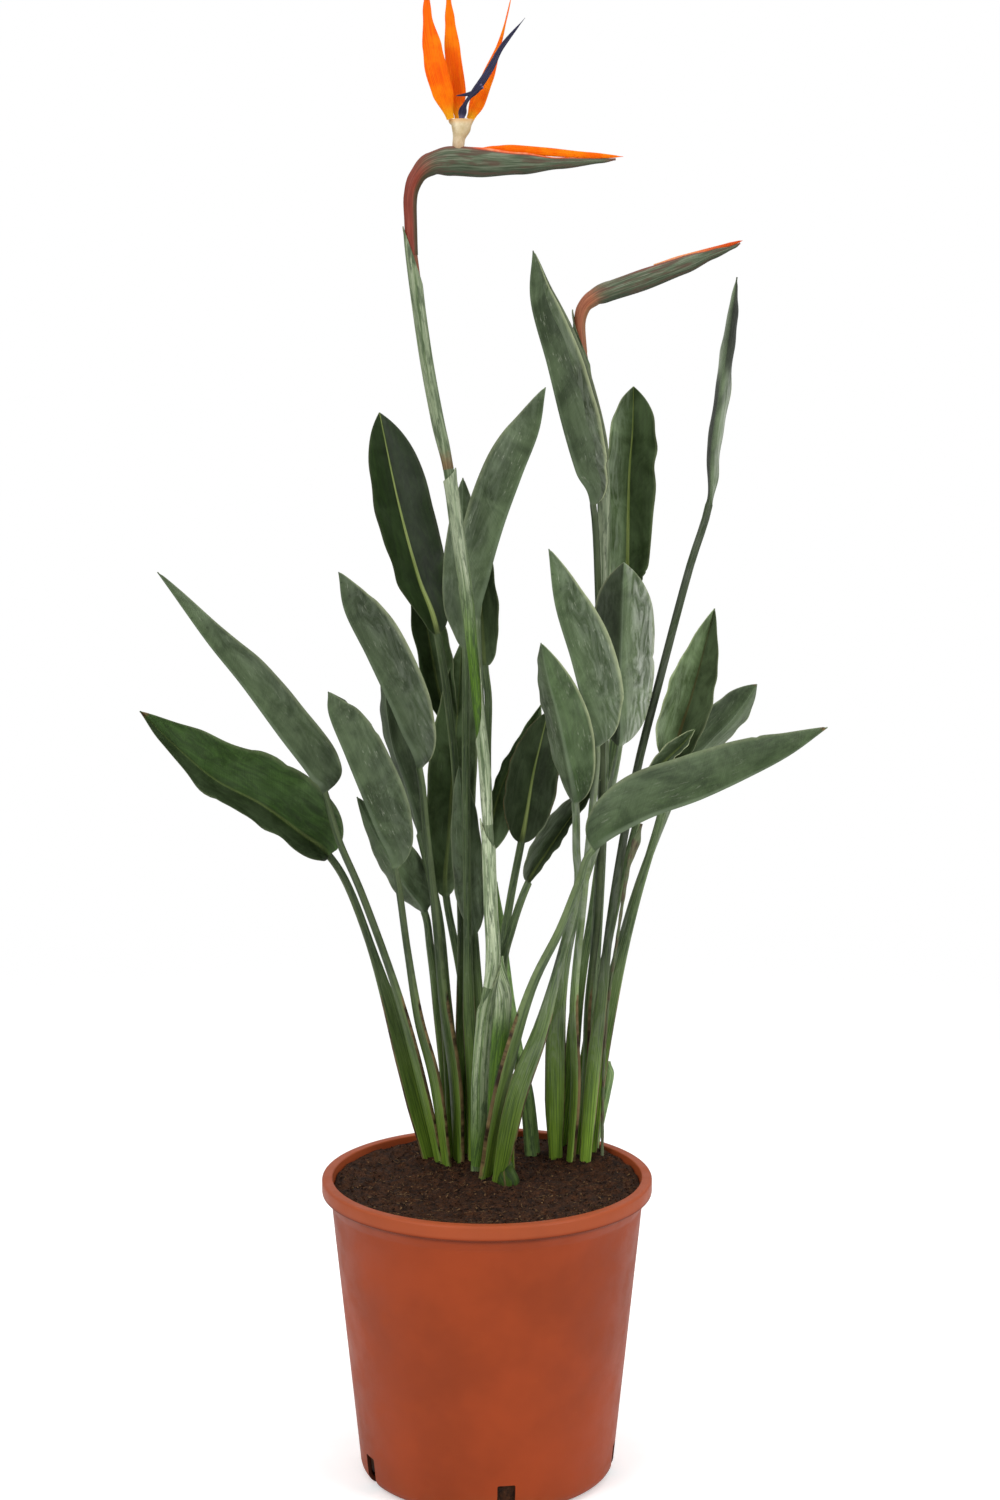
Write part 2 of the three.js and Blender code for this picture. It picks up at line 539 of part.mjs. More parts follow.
// A spathe: a round neck that widens into a keeled boat with a channel along its top.
function spatheSolid({ path, heights, open }, grow = 0) {
  const route = routeThrough(path);
  const steps = Math.round(SPATHE_STEPS_PER_PLACE * route.spans);
  const rings = [];
  for (let k = 0; k <= steps; k += 1) {
    const t = k / steps;
    const { point, tangent } = route.at(t);
    const up = tangent.clone().cross(BACK).normalize();
    const tall = route.value(heights, t) + grow;
    const gape = grow > 0 ? 0 : route.value(open, t);
    const wide = tall * THREE.MathUtils.lerp(1, SPATHE_FLATNESS, smooth(t / SPATHE_FLATTENS_BY));
    const spot = (x, y) => point.clone().addScaledVector(BACK, x * wide).addScaledVector(up, y * tall);
    const rim = (angle) => spot(Math.cos(degrees(angle)), Math.sin(degrees(angle)));
    const top = SPATHE_TOP_ANGLES.map((angle, j) => rim(angle).lerp(spot(...SPATHE_CHANNEL[j]), gape));
    rings.push([...SPATHE_OUTER_ANGLES.map(rim), ...top]);
  }
  return solidOf(loft(rings));
}

function turnedSolid(profile) {
  const lathe = new THREE.LatheGeometry(profile.map(([r, z]) => new THREE.Vector2(r, z)), POT_SEGMENTS);
  lathe.rotateX(Math.PI / 2);
  return solidOf(lathe);
}

function arc(centreR, centreZ, radius, from, to, steps) {
  return Array.from({ length: steps + 1 }, (_, k) => {
    const angle = degrees(THREE.MathUtils.lerp(from, to, k / steps));
    return [centreR + radius * Math.cos(angle), centreZ + radius * Math.sin(angle)];
  });
}

function potSolid() {
  const stepTop = POT_HEIGHT - RIM_BAND_HEIGHT;
  const neckZ = stepTop - RIM_STEP_HEIGHT;
  const rimInner = RIM_RADIUS - RIM_WIDTH;
  const innerCorner = CORNER_RADIUS - WALL;
  const profile = [
    [0, 0],
    ...arc(FOOT_RADIUS - CORNER_RADIUS, CORNER_RADIUS, CORNER_RADIUS, -90, 0, 3),
    [NECK_RADIUS, neckZ],
    [RIM_RADIUS, stepTop],
    ...arc(RIM_RADIUS - RIM_ROUNDING, POT_HEIGHT - RIM_ROUNDING, RIM_ROUNDING, 0, 90, 2),
    [rimInner + 1, POT_HEIGHT],
    [rimInner, POT_HEIGHT - 1],
    [NECK_RADIUS - WALL, neckZ],
    ...arc(FOOT_RADIUS - WALL - innerCorner, FLOOR + innerCorner, innerCorner, 0, -90, 2),
    [0, FLOOR],
  ];
  let pot = turnedSolid(profile);
  for (let k = 0; k < SLOT_COUNT; k += 1) {
    const length = RIM_RADIUS - SLOT_INNER_RADIUS;
    const slot = new THREE.BoxGeometry(SLOT_WIDTH, length, 2 * SLOT_TOP);
    slot.translate(0, -SLOT_INNER_RADIUS - length / 2, 0);
    slot.rotateZ(degrees(FIRST_SLOT_ANGLE + (360 / SLOT_COUNT) * k));
    pot = pot.subtract(solidOf(slot));
  }
  return pot;
}

function soilHeight(x, y) {
  const mounds = CLUMPS.map(([cx, cy]) => {
    const away = Math.hypot(x - cx, y - cy) / SOIL_MOUND_SPREAD;
    return Math.exp(-away * away);
  });
  const rough = Math.sin(x * 0.21 + 1.3) * Math.cos(y * 0.17) + 0.6 * Math.sin(x * 0.09 - y * 0.26);
  return SOIL_LEVEL + SOIL_MOUND * Math.max(...mounds) + SOIL_ROUGHNESS * rough;
}

// The soil fills the pot from its floor to just below the rim.
function soilSolid() {
  const rimZ = POT_HEIGHT - RIM_BAND_HEIGHT - RIM_STEP_HEIGHT;
  const neck = NECK_RADIUS - WALL - GAP;
  const corner = CORNER_RADIUS - WALL;
  const climb = (SOIL_LEVEL - rimZ) / (POT_HEIGHT - rimZ);
  const edge = THREE.MathUtils.lerp(neck, RIM_RADIUS - RIM_WIDTH - GAP, climb) - SOIL_SIDE_ROOM;
  const flat = (radius, height) => Array.from({ length: SOIL_SEGMENTS }, (_, j) => {
    const angle = (2 * Math.PI * j) / SOIL_SEGMENTS;
    const [x, y] = [radius * Math.cos(angle), radius * Math.sin(angle)];
    return new THREE.Vector3(x, y, height ?? soilHeight(x, y));
  });
  const sides = arc(FOOT_RADIUS - WALL - corner, FLOOR + corner, corner - GAP, -90, 0, 2);
  return solidOf(loft([
    ...sides.map(([r, z]) => flat(r, z)),
    flat(neck - SOIL_SIDE_ROOM, rimZ),
    flat(edge, SOIL_LEVEL - SOIL_SHOULDER),
    ...SOIL_RINGS.map((share) => flat(share * edge)),
  ]));
}

function petalSolid({ path, widths, deep }, grow = 0, steps = PETAL_STEPS) {
  const thick = widths.map((width) => Math.min(width, deep));
  return ovalSolid({ path, across: widths, deep: thick }, PETAL_SIDES, steps, grow);
}

function arrowSolid(grow = 0) {
  const head = petalSolid({ ...ARROW, deep: ARROW_HALF_THICKNESS }, grow);
  return head.add(petalSolid({ ...ARROW_BARB, deep: ARROW_HALF_THICKNESS }, grow, ARROW_BARB_STEPS));
}

function shootMaker(name) {
  const shoot = SHOOTS[name];
  return [name, shoot.colour, (grow) => ovalSolid(shoot, PETAL_SIDES, SHOOT_STEPS, grow)];
}

function leafMaker(name) {
  const leaf = LEAVES[name];
  const colour = leaf.face > 0 ? LEAF_FACE_GREEN : LEAF_BACK_GREEN;
  return [name, colour, (grow) => leafSolid(leaf, grow)];
}

// Every plant body in the order in which it keeps its room; a later one is cut clear of the earlier
// ones by the working gap, as a sheath is hollowed by the stalk that it clasps.
const makers = [
  shootMaker('shoot_front'),
  ['stem_open_flower', STEM_GREEN, (grow) => stemSolid(STEM_OPEN_FLOWER, grow)],
  ['stem_closed_flower', STEM_GREEN, (grow) => stemSolid(STEM_CLOSED_FLOWER, grow)],
  ['bloom_base', CREAM, (grow) => petalSolid(BLOOM_BASE, grow)],
  ...Object.entries(PETALS).map(([name, petal]) => [name, petal.colour, (grow) => petalSolid(petal, grow)]),
  ['arrow_petal', ARROW_BLUE, arrowSolid],
  ['spathe_open_flower', SPATHE_GREEN, (grow) => spatheSolid(SPATHE_OPEN, grow)],
  ['spathe_closed_flower', SPATHE_GREEN, (grow) => spatheSolid(SPATHE_CLOSED, grow)],
  leafMaker('leaf_right_front'),
  ...['sheath_pale', 'shoot_behind', 'shoot_side'].map(shootMaker),
  ['dried_stalk', DRY_BROWN, (grow) => ovalSolid(DRIED_STALK, PETAL_SIDES, DRIED_STALK_STEPS, grow)],
  ...Object.keys(LEAVES).filter((name) => name !== 'leaf_right_front').map(leafMaker),
];

function boxesMeet(a, b) {
  return [0, 1, 2].every((i) => a.min[i] <= b.max[i] && b.min[i] <= a.max[i]);
}

const group = new THREE.Group();

function addPiece(name, colour, solid, roughness) {
  const material = new THREE.MeshStandardMaterial({ color: colour, roughness, metalness: 0 });
  const mesh = new THREE.Mesh(geometryOf(solid), material);
  mesh.name = name;
  group.add(mesh);
}

let soil = soilSolid();
const settled = [];
for (const [name, colour, make] of makers) {
  let body = make(0);
  const roomy = make(GAP);
  const box = body.boundingBox();
  for (const other of settled) {
    if (!boxesMeet(box, other.box)) continue;
    if (body.intersect(other.roomy).volume() > 0) body = body.subtract(other.roomy);
  }
  const [largest] = body.decompose().sort((a, b) => b.volume() - a.volume());
  settled.push({ roomy, box: roomy.boundingBox() });
  if (boxesMeet(box, soil.boundingBox())) soil = soil.subtract(roomy);
  addPiece(name, colour, largest, 0.6);
}
addPiece('soil', SOIL_BROWN, soil.decompose().sort((a, b) => b.volume() - a.volume())[0], 0.95);
addPiece('pot', POT_TERRACOTTA, potSolid(), 0.45);

export default group;
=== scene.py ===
"""Bird of paradise in a nursery pot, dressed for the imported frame.

Lengths in the tables are in millimetres and become metres where a mesh is made. Every leaf, stem
and petal follows the same route as the CAD solid that it stands for, and adds the veins, sheaths,
margins and finishes that the solid leaves out.
"""

import json
import math
import random
from dataclasses import dataclass
from types import SimpleNamespace

import bmesh
import bpy
import numpy as np
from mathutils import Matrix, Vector, noise
from mathutils.kdtree import KDTree


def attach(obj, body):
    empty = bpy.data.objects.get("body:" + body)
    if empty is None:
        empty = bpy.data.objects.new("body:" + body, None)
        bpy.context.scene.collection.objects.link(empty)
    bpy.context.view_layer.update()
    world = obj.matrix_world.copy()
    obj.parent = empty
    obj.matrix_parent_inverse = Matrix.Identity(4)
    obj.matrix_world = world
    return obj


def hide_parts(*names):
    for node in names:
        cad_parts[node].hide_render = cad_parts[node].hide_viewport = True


bl_info = {
    "name": "Potted Bird of Paradise",
    "version": (1, 0, 0),
    "blender": (4, 5, 0),
    "location": "3D View > Sidebar > Plant",
    "description": "Builds a bird of paradise in its nursery pot, leaf by leaf, with its finishes",
    "category": "Object",
}

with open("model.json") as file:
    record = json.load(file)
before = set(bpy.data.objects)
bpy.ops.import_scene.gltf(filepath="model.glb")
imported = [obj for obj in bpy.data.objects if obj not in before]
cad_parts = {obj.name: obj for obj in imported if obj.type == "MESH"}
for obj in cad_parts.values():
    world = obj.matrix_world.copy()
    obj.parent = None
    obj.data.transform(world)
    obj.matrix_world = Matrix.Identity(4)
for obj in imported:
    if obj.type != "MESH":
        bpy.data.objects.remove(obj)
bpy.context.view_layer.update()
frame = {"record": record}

MM = 0.001
BODY = "root"
WHITE = (1.0, 1.0, 1.0)
# Once round a ring, in radians.
ONCE_ROUND = 6.28
FRONT = np.array((0.0, -1.0, 0.0))
BACK = np.array((0.0, 1.0, 0.0))
# The left and the right half of a leaf.
HALVES = (-1, 1)
# The finer pieces keep this far from the neighbours that they clasp.
GAP = 0.35
# How far apart two faces turn before their edge shows.
SOFT_EDGE = 60.0
CRUMB_EDGE = 80.0
POT_EDGE = 32.0

# The pot: outside sizes, wall, rim and the drain slots round its foot.
RIM_RADIUS = 140.0
POT_HEIGHT = 260.0
FOOT_RADIUS = 109.0
NECK_RADIUS = 132.0
WALL = 3.0
FLOOR = 3.5
CORNER_RADIUS = 12.0
RIM_BAND_HEIGHT = 12.0
RIM_STEP_HEIGHT = 10.0
RIM_WIDTH = 9.0
RIM_ROUNDING = 2.5
RIM_INNER_ROUNDING = 1.4
BAND_FOOT = POT_HEIGHT - RIM_BAND_HEIGHT
NECK_HEIGHT = BAND_FOOT - RIM_STEP_HEIGHT
POT_SIDES = 220
SLOT_COUNT = 5
SLOT_WIDTH = 15.0
SLOT_TOP = 28.0
SLOT_INNER_RADIUS = 100.0
FIRST_SLOT_ANGLE = 8.5
SLOT_CORNER = 1.5
# Inside this radius the floor is one flat face above and one below.
FLAT_MIDDLE = 60.0

# The soil: its level, the mounds round the clumps of stalks, its rise along the wall, its crumbs and its
# fibres, and the room that these keep from its edge.
SOIL_LEVEL = 249.0
SOIL_MOUND = 5.0
SOIL_MOUND_SPREAD = 30.0
SOIL_HEAP = 6.0
SOIL_HEAP_FROM = 84
SOIL_HEAP_SPAN = 40
SOIL_ROUGHNESS = 0.9
SOIL_SIDE_ROOM = 0.5
SOIL_SHOULDER = 3.0
SOIL_SIDES = 260
SOIL_ROWS = 100
SOIL_SEED = 7
CLUMPS = ((-32, 66), (4, 28), (80, 74))
CRUMB_SPANS = ((0.4, 1.35), (0.4, 1.35), (0.4, 1.35))
CHIP_SPANS = ((1.2, 2.8), (0.5, 1.1), (0.3, 0.6))
CHIP_SHARE = 0.06
CRUMB_SHAPE = [Vector(corner) for corner in (
    (1, 1, 1), (1, -1, -1), (-1, 1, -1), (-1, -1, 1),
    (1.6, 0, 0), (-1.6, 0, 0), (0, 1.5, 0), (0, -1.5, 0), (0, 0, 1.4), (0, 0, -1.4))]
CRUMB_EDGE_ROOM = 3
FIBRE_STEP = 1.6
FIBRE_START_ROOM = 12
FIBRE_EDGE_ROOM = 6

# A leaf's stalk and blade.
STALK_TOP_RADIUS = 3.2
SHEATH_FULL_UP_TO = 90.0
SHEATH_FADE = 120.0
EDGE_HALF_THICKNESS = 0.16
BLADE_HALF_THICKNESS = 0.42
TIP_HALF_WIDTH = 0.45
TIP_RIB = 0.6
CUP_DEGREES = 14.0
HIDDEN_HALF = -125
TIP_FULLNESS = 1.2
RUFFLE = 0.7
RIB_RISE = 0.12
RIB_BLENDS_AT = 2.4
FOOT_SHARE = 0.4
FOOT_RISE = 60.0
EDGE_ANGLE = 72.0
STALK_GROOVE = 0.3
SHEATH_GROOVE = 0.75
GREEN_FOOT = 210.0
SOILED_FOOT = 16.0
SOILING = 0.62
HALF_SHARES = [0.04, 0.1, 0.19, 0.3, 0.42, 0.54, 0.66, 0.78, 0.89, 0.96, 1.0]
STALK_ROWS = 30
BLADE_ROWS = 66

# Stems, sleeves, shoots, spathes and petals: points round a ring and rows along the piece.
STEM_SIDES, STEM_ROWS = 28, 150
SLEEVE_SIDES, SLEEVE_ROWS, MOUTH_ROWS, INNER_ROWS = 40, 60, 14, 12
SHOOT_SIDES, SHOOT_ROWS = 40, 70
DRIED_SIDES, DRIED_ROWS = 20, 110
SPATHE_SIDES, SPATHE_ROWS = 40, 120
PETAL_SIDES, PETAL_ROWS = 36, 90
ARROW_SIDES = 32
BLOOM_SIDES, BLOOM_ROWS, BLOOM_RIBS = 40, 40, 7
STEM_PALENESS = 0.3
STEM_SOILED_FOOT = 14
STEM_GREEN_FOOT = 300
STEM_REDDENS_OVER = 25.0
JOINT_LENGTH = 45.0
SLEEVE_LIP = 0.35
SEAM_ANGLE = 1.9
SEAM_WIDTH = 0.2
SPATHE_FLATNESS = 0.66
SPATHE_FLATTENS_BY = 0.45
CHANNEL_PLACES = 7
CHANNEL_HALF_WIDTH = 0.4
ARROW_HALF_THICKNESS = 1.8
ARROW_SLIMMER = 0.76
NECK_MEETS_STEM = 0.95


@dataclass
class Leaf:
    """A leaf's route and looks; a pair of values is for its left and its right half."""

    # Places from the foot in the soil to the blade, then from the blade's base to its tip.
    stalk: list
    blade: list
    # Either half's width and its turn from the picture plane to the front, in degrees.
    left: tuple
    right: tuple
    # The upper face is to the front (1) or away from it (-1).
    face: int
    # The share of the blade's length where it is widest.
    widest: float
    # Brightness (1 is the usual), and 0 for blue-grey to 1 for yellow-green.
    tone: float
    yellow: object
    # How pale the midrib is, how much pale wax, partly real and partly painted sheen, and how many pale
    # specks there are.
    rib: float
    bloom: tuple
    fleck: float
    # How dry and brown the tip and the margin are, and how pale the very edge is.
    tip: float
    margin: float = 0.12
    rim: object = 0.25
    # The brightness of either half, which is painted light and shade, and how brown the midrib is.
    halves: object = 1.0
    rib_red: float = 0.0
    # The stalk's brightness and pale wax, partly real and partly painted sheen, and the brightness of its
    # foot.
    stalk_tone: float = 1.0
    stalk_wax_and_sheen: float = 0.1
    foot_tone: float = 1.2
    # Where a turned blade shows its other half, and how slowly the stalk flattens into the blade.
    twist: float = 2.0
    blend: float = 1.0
    # How much wider either half is in the end, and how far the blade bulges to the right.
    grow: tuple = (1.0, 1.0)
    shift: float = 0.0
    # Half widths of the clasping foot and of the stalk; how late the blade narrows to its tip.
    sheath: float = 6.5
    radius: float = 4.0
    taper: float = 1.9
    # How far and how often the margins wave, and their nicks: side, place, depth and half length.
    wave: float = 0.9
    waves: int = 3
    nicks: tuple = ()


LEAVES = {
    "leaf_left_high": Leaf(
        [[-38, 58, 236], [-52, 57, 304], [-75, 38, 404], [-103, 14, 495], [-123, -5, 550]],
        [[-134, -9, 591], [-142, -14, 609], [-166, -24, 643], [-196, -36, 685], [-226, -47, 723],
            [-263, -60, 778]],
        (31, HIDDEN_HALF), (26, 0), -1, 0.3, tone=1.23, yellow=0.15, rib=0.5, bloom=(0.8, 0.15), fleck=0.35,
        tip=0.5, halves=(0.95, 1.05), stalk_tone=0.65, foot_tone=1.3, grow=(1.0, 1.13), shift=-4.5, sheath=9),
    "leaf_left_low": Leaf(
        [[-48, 74, 236], [-66, 66, 320], [-86, 57, 400], [-114, 46, 489]],
        [[-134, 34, 529], [-157, 16, 552], [-188, -5, 580], [-222, -30, 604], [-251, -54, 635],
            [-277, -78, 668]],
        (34, 62), (44, 2), 1, 0.38, tone=0.9, yellow=(0.35, 1.0), rib=0.3, bloom=(0.1, 0.05), fleck=0.15,
        tip=0.9, margin=0.35, halves=(0.85, 1.25), stalk_tone=0.65, foot_tone=1.3, grow=(0.96, 1.04),
        sheath=9.5, wave=2.2, waves=4, nicks=((1, 0.44, 1.8, 0.02), (-1, 0.62, 1.6, 0.015))),
    "leaf_left_front": Leaf(
        [[-33, 54, 236], [-44, 46, 325], [-58, 38, 385], [-67, 20, 450]],
        [[-76, -10, 527], [-90, -28, 570], [-111, -50, 627], [-125, -68, 664], [-126, -80, 684]],
        (31, HIDDEN_HALF), (33, 0), -1, 0.34, tone=1.3, yellow=0.15, rib=0.3, bloom=(0.3, 0.15), fleck=0.9,
        tip=0.3, stalk_tone=0.65, foot_tone=1.3, shift=-2.5, sheath=10, taper=1.6,
        nicks=((1, 0.55, 1.4, 0.014),)),
    "leaf_left_inner": Leaf(
        [[-24, 62, 236], [-27, 58, 322], [-37, 50, 399], [-43, 36, 473], [-50, 22, 545]],
        [[-56, 5, 609], [-70, -8, 653], [-93, -26, 705], [-113, -44, 746], [-118, -60, 778]],
        (32, HIDDEN_HALF), (32, 0), -1, 0.42, tone=1.05, yellow=0.15, rib=0.35, bloom=(0.1, 0.35), fleck=0.8,
        tip=0.4, rim=(0.2, 0.7), stalk_tone=0.7, foot_tone=1.3, grow=(1.0, 1.05), shift=-3.5, sheath=10,
        radius=5),
    "leaf_left_tall": Leaf(
        [[-20, 82, 236], [-22, 86, 314], [-22, 84, 391], [-23, 80, 481], [-28, 74, 604]],
        [[-42, 62, 714], [-59, 72, 764], [-76, 88, 826], [-92, 110, 899]],
        (32, 44), (32, 6), 1, 0.58, tone=0.42, yellow=0.7, rib=1.6, bloom=(0.0, 0.0), fleck=0.1, tip=0.5,
        halves=(1.3, 0.85), stalk_tone=0.8, foot_tone=1.3, grow=(1.08, 0.93), taper=2.6, wave=1.4),
    "leaf_left_middle": Leaf(
        [[-30, 72, 236], [-31, 74, 317], [-36, 68, 395], [-41, 56, 469]],
        [[-57, 42, 545], [-67, 36, 585], [-79, 28, 625], [-84, 20, 664], [-84, 12, 689]],
        (26, -60), (28, -40), -1, 0.45, tone=1.1, yellow=0.15, rib=0.3, bloom=(0.0, 0.2), fleck=0.3, tip=0.4,
        stalk_tone=0.8, foot_tone=1.3),
    "leaf_left_short": Leaf(
        [[-38, 82, 236], [-35, 84, 314], [-43, 78, 393], [-49, 68, 440]],
        [[-54, 58, 475], [-70, 42, 502], [-88, 20, 538], [-108, 0, 585]],
        (18, -20), (24, -20), -1, 0.3, tone=1.45, yellow=0.2, rib=0.3, bloom=(0.1, 0.2), fleck=0.5, tip=0.4,
        grow=(0.75, 1.1)),
    "leaf_left_shade": Leaf(
        [[-24, 93, 236], [-18, 108, 310], [-14, 120, 386], [-19, 126, 520]],
        [[-33, 128, 620], [-43, 129, 659], [-51, 131, 702], [-58, 134, 745], [-62, 138, 779]],
        (26, 50), (26, 50), 1, 0.45, tone=1.4, yellow=0.2, rib=0.4, bloom=(0.0, 0.0), fleck=0.1, tip=0.4,
        grow=(1.0, 1.6)),
    "leaf_centre_low": Leaf(
        [[-13, 73, 236], [-12, 84, 316], [-19, 93, 392]],
        [[-36, 99, 480], [-34, 102, 530], [-30, 106, 592], [-25, 110, 652], [-22, 114, 703]],
        (30, 32), (28, 28), 1, 0.42, tone=2.3, yellow=0.15, rib=0.5, bloom=(0.0, 0.1), fleck=0.2, tip=0.3,
        foot_tone=1.5),
    "leaf_centre_narrow": Leaf(
        [[-12, 60, 236], [-12, 60, 320], [-16, 57, 397], [-17, 55, 486], [-18, 52, 591]],
        [[-18, 50, 702], [-21, 50, 745], [-20, 50, 795], [-20, 48, 847]],
        (17, -5), (18, -5), -1, 0.42, tone=1.5, yellow=0.1, rib=0.3, bloom=(0.2, 0.3), fleck=0.3, tip=0.3,
        rim=(0.2, 0.6)),
    "leaf_centre_short": Leaf(
        [[-2, 51, 236], [-2, 60, 322], [-8, 66, 398]],
        [[-11, 68, 453], [-15, 66, 485], [-18, 64, 521], [-21, 63, 566], [-24, 63, 601]],
        (15, -20), (17, -20), -1, 0.4, tone=1.7, yellow=0.15, rib=0.4, bloom=(0.2, 0.2), fleck=0.3, tip=0.3),
    "leaf_centre_tall": Leaf(
        [[4, 40, 236], [-2, 42, 327], [3, 40, 402], [2, 38, 490], [-2, 36, 594], [-6, 33, 670]],
        [[-8, 30, 730], [-1, 28, 768], [11, 24, 809], [27, 18, 851], [42, 12, 888], [48, 5, 923]],
        (33, 0), (31, HIDDEN_HALF), -1, 0.5, tone=1.6, yellow=0.1, rib=0.4, bloom=(0.2, 0.45), fleck=0.6,
        tip=0.5, rim=(0.2, 0.9), stalk_tone=1.1, stalk_wax_and_sheen=0.3, foot_tone=1.5, shift=2.0),
    "leaf_centre_back": Leaf(
        [[7, 66, 236], [3, 74, 318], [4, 84, 393], [1, 90, 499], [0, 92, 602], [1, 90, 653]],
        [[-2, 86, 684], [-4, 84, 723], [-8, 82, 775], [-13, 78, 826]],
        (20, 20), (24, 40), 1, 0.45, tone=2.1, yellow=0.15, rib=0.4, bloom=(0.0, 0.1), fleck=0.1, tip=0.3),
    "leaf_centre_behind": Leaf(
        [[14, 52, 236], [9, 56, 322], [9, 60, 397], [5, 67, 466]],
        [[1, 72, 525], [8, 76, 569], [24, 80, 608], [46, 88, 650]],
        (26, 58), (28, 30), 1, 0.45, tone=2.0, yellow=0.2, rib=0.4, bloom=(0.0, 0.1), fleck=0.1, tip=0.3),
    "leaf_centre_dark": Leaf(
        [[16, 36, 236], [12, 30, 330], [13, 36, 438], [19, 38, 485]],
        [[29, 40, 539], [34, 43, 566], [39, 48, 596], [46, 54, 625], [52, 60, 649]],
        (33, 34), (27, 26), 1, 0.42, tone=0.85, yellow=0.2, rib=0.9, bloom=(0.1, 0.1), fleck=0.1, tip=0.4,
        margin=0.7, halves=(1.15, 0.9)),
    "leaf_centre_reaching": Leaf(
        [[20, 24, 236], [16, 24, 336], [13, 25, 426], [21, 22, 468]],
        [[35, 22, 508], [52, 28, 535], [72, 36, 563], [96, 46, 592]],
        (27, 36), (17, 66), 1, 0.4, tone=1.0, yellow=0.15, rib=0.5, bloom=(0.5, 0.1), fleck=0.1, tip=0.4,
        halves=(1.2, 0.8)),
    "leaf_right_front": Leaf(
        [[7, 8, 236], [24, -8, 327], [45, -14, 389], [61, -20, 451], [75, -26, 512], [74, -26, 545]],
        [[73, -24, 584], [66, -28, 621], [58, -36, 659], [49, -44, 693], [44, -52, 720]],
        (25, -48), (27, -8), -1, 0.36, tone=1.4, yellow=(0.05, 0.35), rib=0.4, bloom=(0.35, 0.05), fleck=0.9,
        tip=0.4, rim=(0.2, 0.7), stalk_tone=1.1, stalk_wax_and_sheen=0.5, foot_tone=0.9, sheath=9, taper=1.5,
        nicks=((-1, 0.38, 1.6, 0.014),)),
    "leaf_right_wide": Leaf(
        [[-5, 20, 236], [13, 0, 339], [36, -20, 425], [60, -36, 480], [75, -48, 522]],
        [[87, -56, 552], [128, -66, 579], [172, -75, 597], [211, -84, 617], [242, -94, 636],
            [270, -104, 659]],
        (37, 0), (34, HIDDEN_HALF), -1, 0.24, tone=1.18, yellow=(0.25, 0.1), rib=0.5, bloom=(0.05, 0.7),
        fleck=0.4, tip=0.9, margin=0.45, stalk_tone=1.1, foot_tone=0.9, sheath=12.5, radius=5.2,
        nicks=((-1, 0.7, 1.6, 0.012), (1, 0.35, 1.2, 0.02))),
    "leaf_right_inner": Leaf(
        [[72, 60, 236], [77, 60, 321], [75, 52, 399], [82, 34, 490], [89, 8, 581]],
        [[91, -10, 630], [82, -20, 659], [70, -34, 704], [56, -50, 751], [50, -66, 797]],
        (30, HIDDEN_HALF), (36, 0), -1, 0.4, tone=1.55, yellow=(0.05, 0.25), rib=0.4, bloom=(0.5, 0.4),
        fleck=0.8, tip=0.3, rim=0.6, stalk_tone=1.35, stalk_wax_and_sheen=0.5, foot_tone=1.8),
    "leaf_right_pale": Leaf(
        [[60, 70, 236], [59, 70, 318], [62, 68, 395], [79, 56, 486], [98, 44, 553]],
        [[111, 30, 624], [111, 26, 663], [112, 18, 723], [113, 4, 780]],
        (32, -26), (33, -16), -1, 0.48, tone=0.95, yellow=0.05, rib=0.5, bloom=(0.35, 1.0), fleck=0.5,
        tip=0.3, rim=(0.7, 0.15), halves=(0.75, 2.4), stalk_tone=1.3, stalk_wax_and_sheen=0.6, foot_tone=1.8,
        sheath=9, taper=2.8, nicks=((1, 0.3, 1.2, 0.012), (1, 0.52, 1.5, 0.01))),
    "leaf_right_tallest": Leaf(
        [[78, 69, 236], [86, 73, 314], [88, 69, 391], [96, 60, 481], [98, 50, 606], [94, 44, 745]],
        [[89, 40, 825], [77, 38, 854], [65, 34, 892], [52, 28, 940], [37, 20, 993], [38, 14, 1033]],
        (30, -162), (32, 0), -1, 0.42, tone=1.15, yellow=0.1, rib=0.3, bloom=(0.4, 0.1), fleck=0.7, tip=0.4,
        margin=0.3, rim=(0.8, 0.3), halves=(1.05, 0.95), stalk_tone=0.5, stalk_wax_and_sheen=0.2, foot_tone=1.75,
        grow=(1.0, 1.05), shift=-1.5),
    "leaf_right_back": Leaf(
        [[62, 92, 236], [72, 97, 311], [79, 99, 387], [93, 100, 477], [107, 100, 600]],
        [[119, 98, 735], [120, 98, 774], [121, 102, 842], [124, 107, 884], [125, 114, 921]],
        (32, 36), (30, 38), 1, 0.56, tone=2.0, yellow=0.2, rib=1.7, bloom=(0.4, 0.0), fleck=0.1, tip=0.4,
        margin=0.5, halves=(1.2, 0.7), stalk_tone=1.3, foot_tone=1.75, grow=(1.0, 1.06), taper=2.6, wave=1.4,
        waves=5, nicks=((1, 0.06, 2.2, 0.012), (1, 0.1, 3.0, 0.01), (1, 0.15, 2.0, 0.014),
            (1, 0.2, 1.4, 0.01), (1, 0.42, -2.6, 0.17))),
    "leaf_right_edge_on": Leaf(
        [[84, 57, 236], [90, 58, 317], [98, 58, 394], [108, 56, 484], [126, 54, 592], [148, 48, 686],
            [169, 43, 770]],
        [[185, 40, 825], [187, 40, 871], [194, 36, 928], [200, 32, 977], [205, 28, 1012]],
        (30, -74), (30, -56), -1, 0.4, tone=1.6, yellow=0.0, rib=0.2, bloom=(0.9, 0.9), fleck=0.3, tip=0.5,
        rim=0.9, halves=(0.3, 1.5), stalk_tone=0.5, stalk_wax_and_sheen=0.5, foot_tone=1.8, twist=0.52, blend=4.0),
    "leaf_right_outer": Leaf(
        [[89, 67, 236], [96, 76, 316], [107, 79, 383], [129, 76, 482], [148, 70, 553]],
        [[158, 64, 602], [164, 64, 629], [174, 68, 660], [183, 74, 692], [194, 82, 734]],
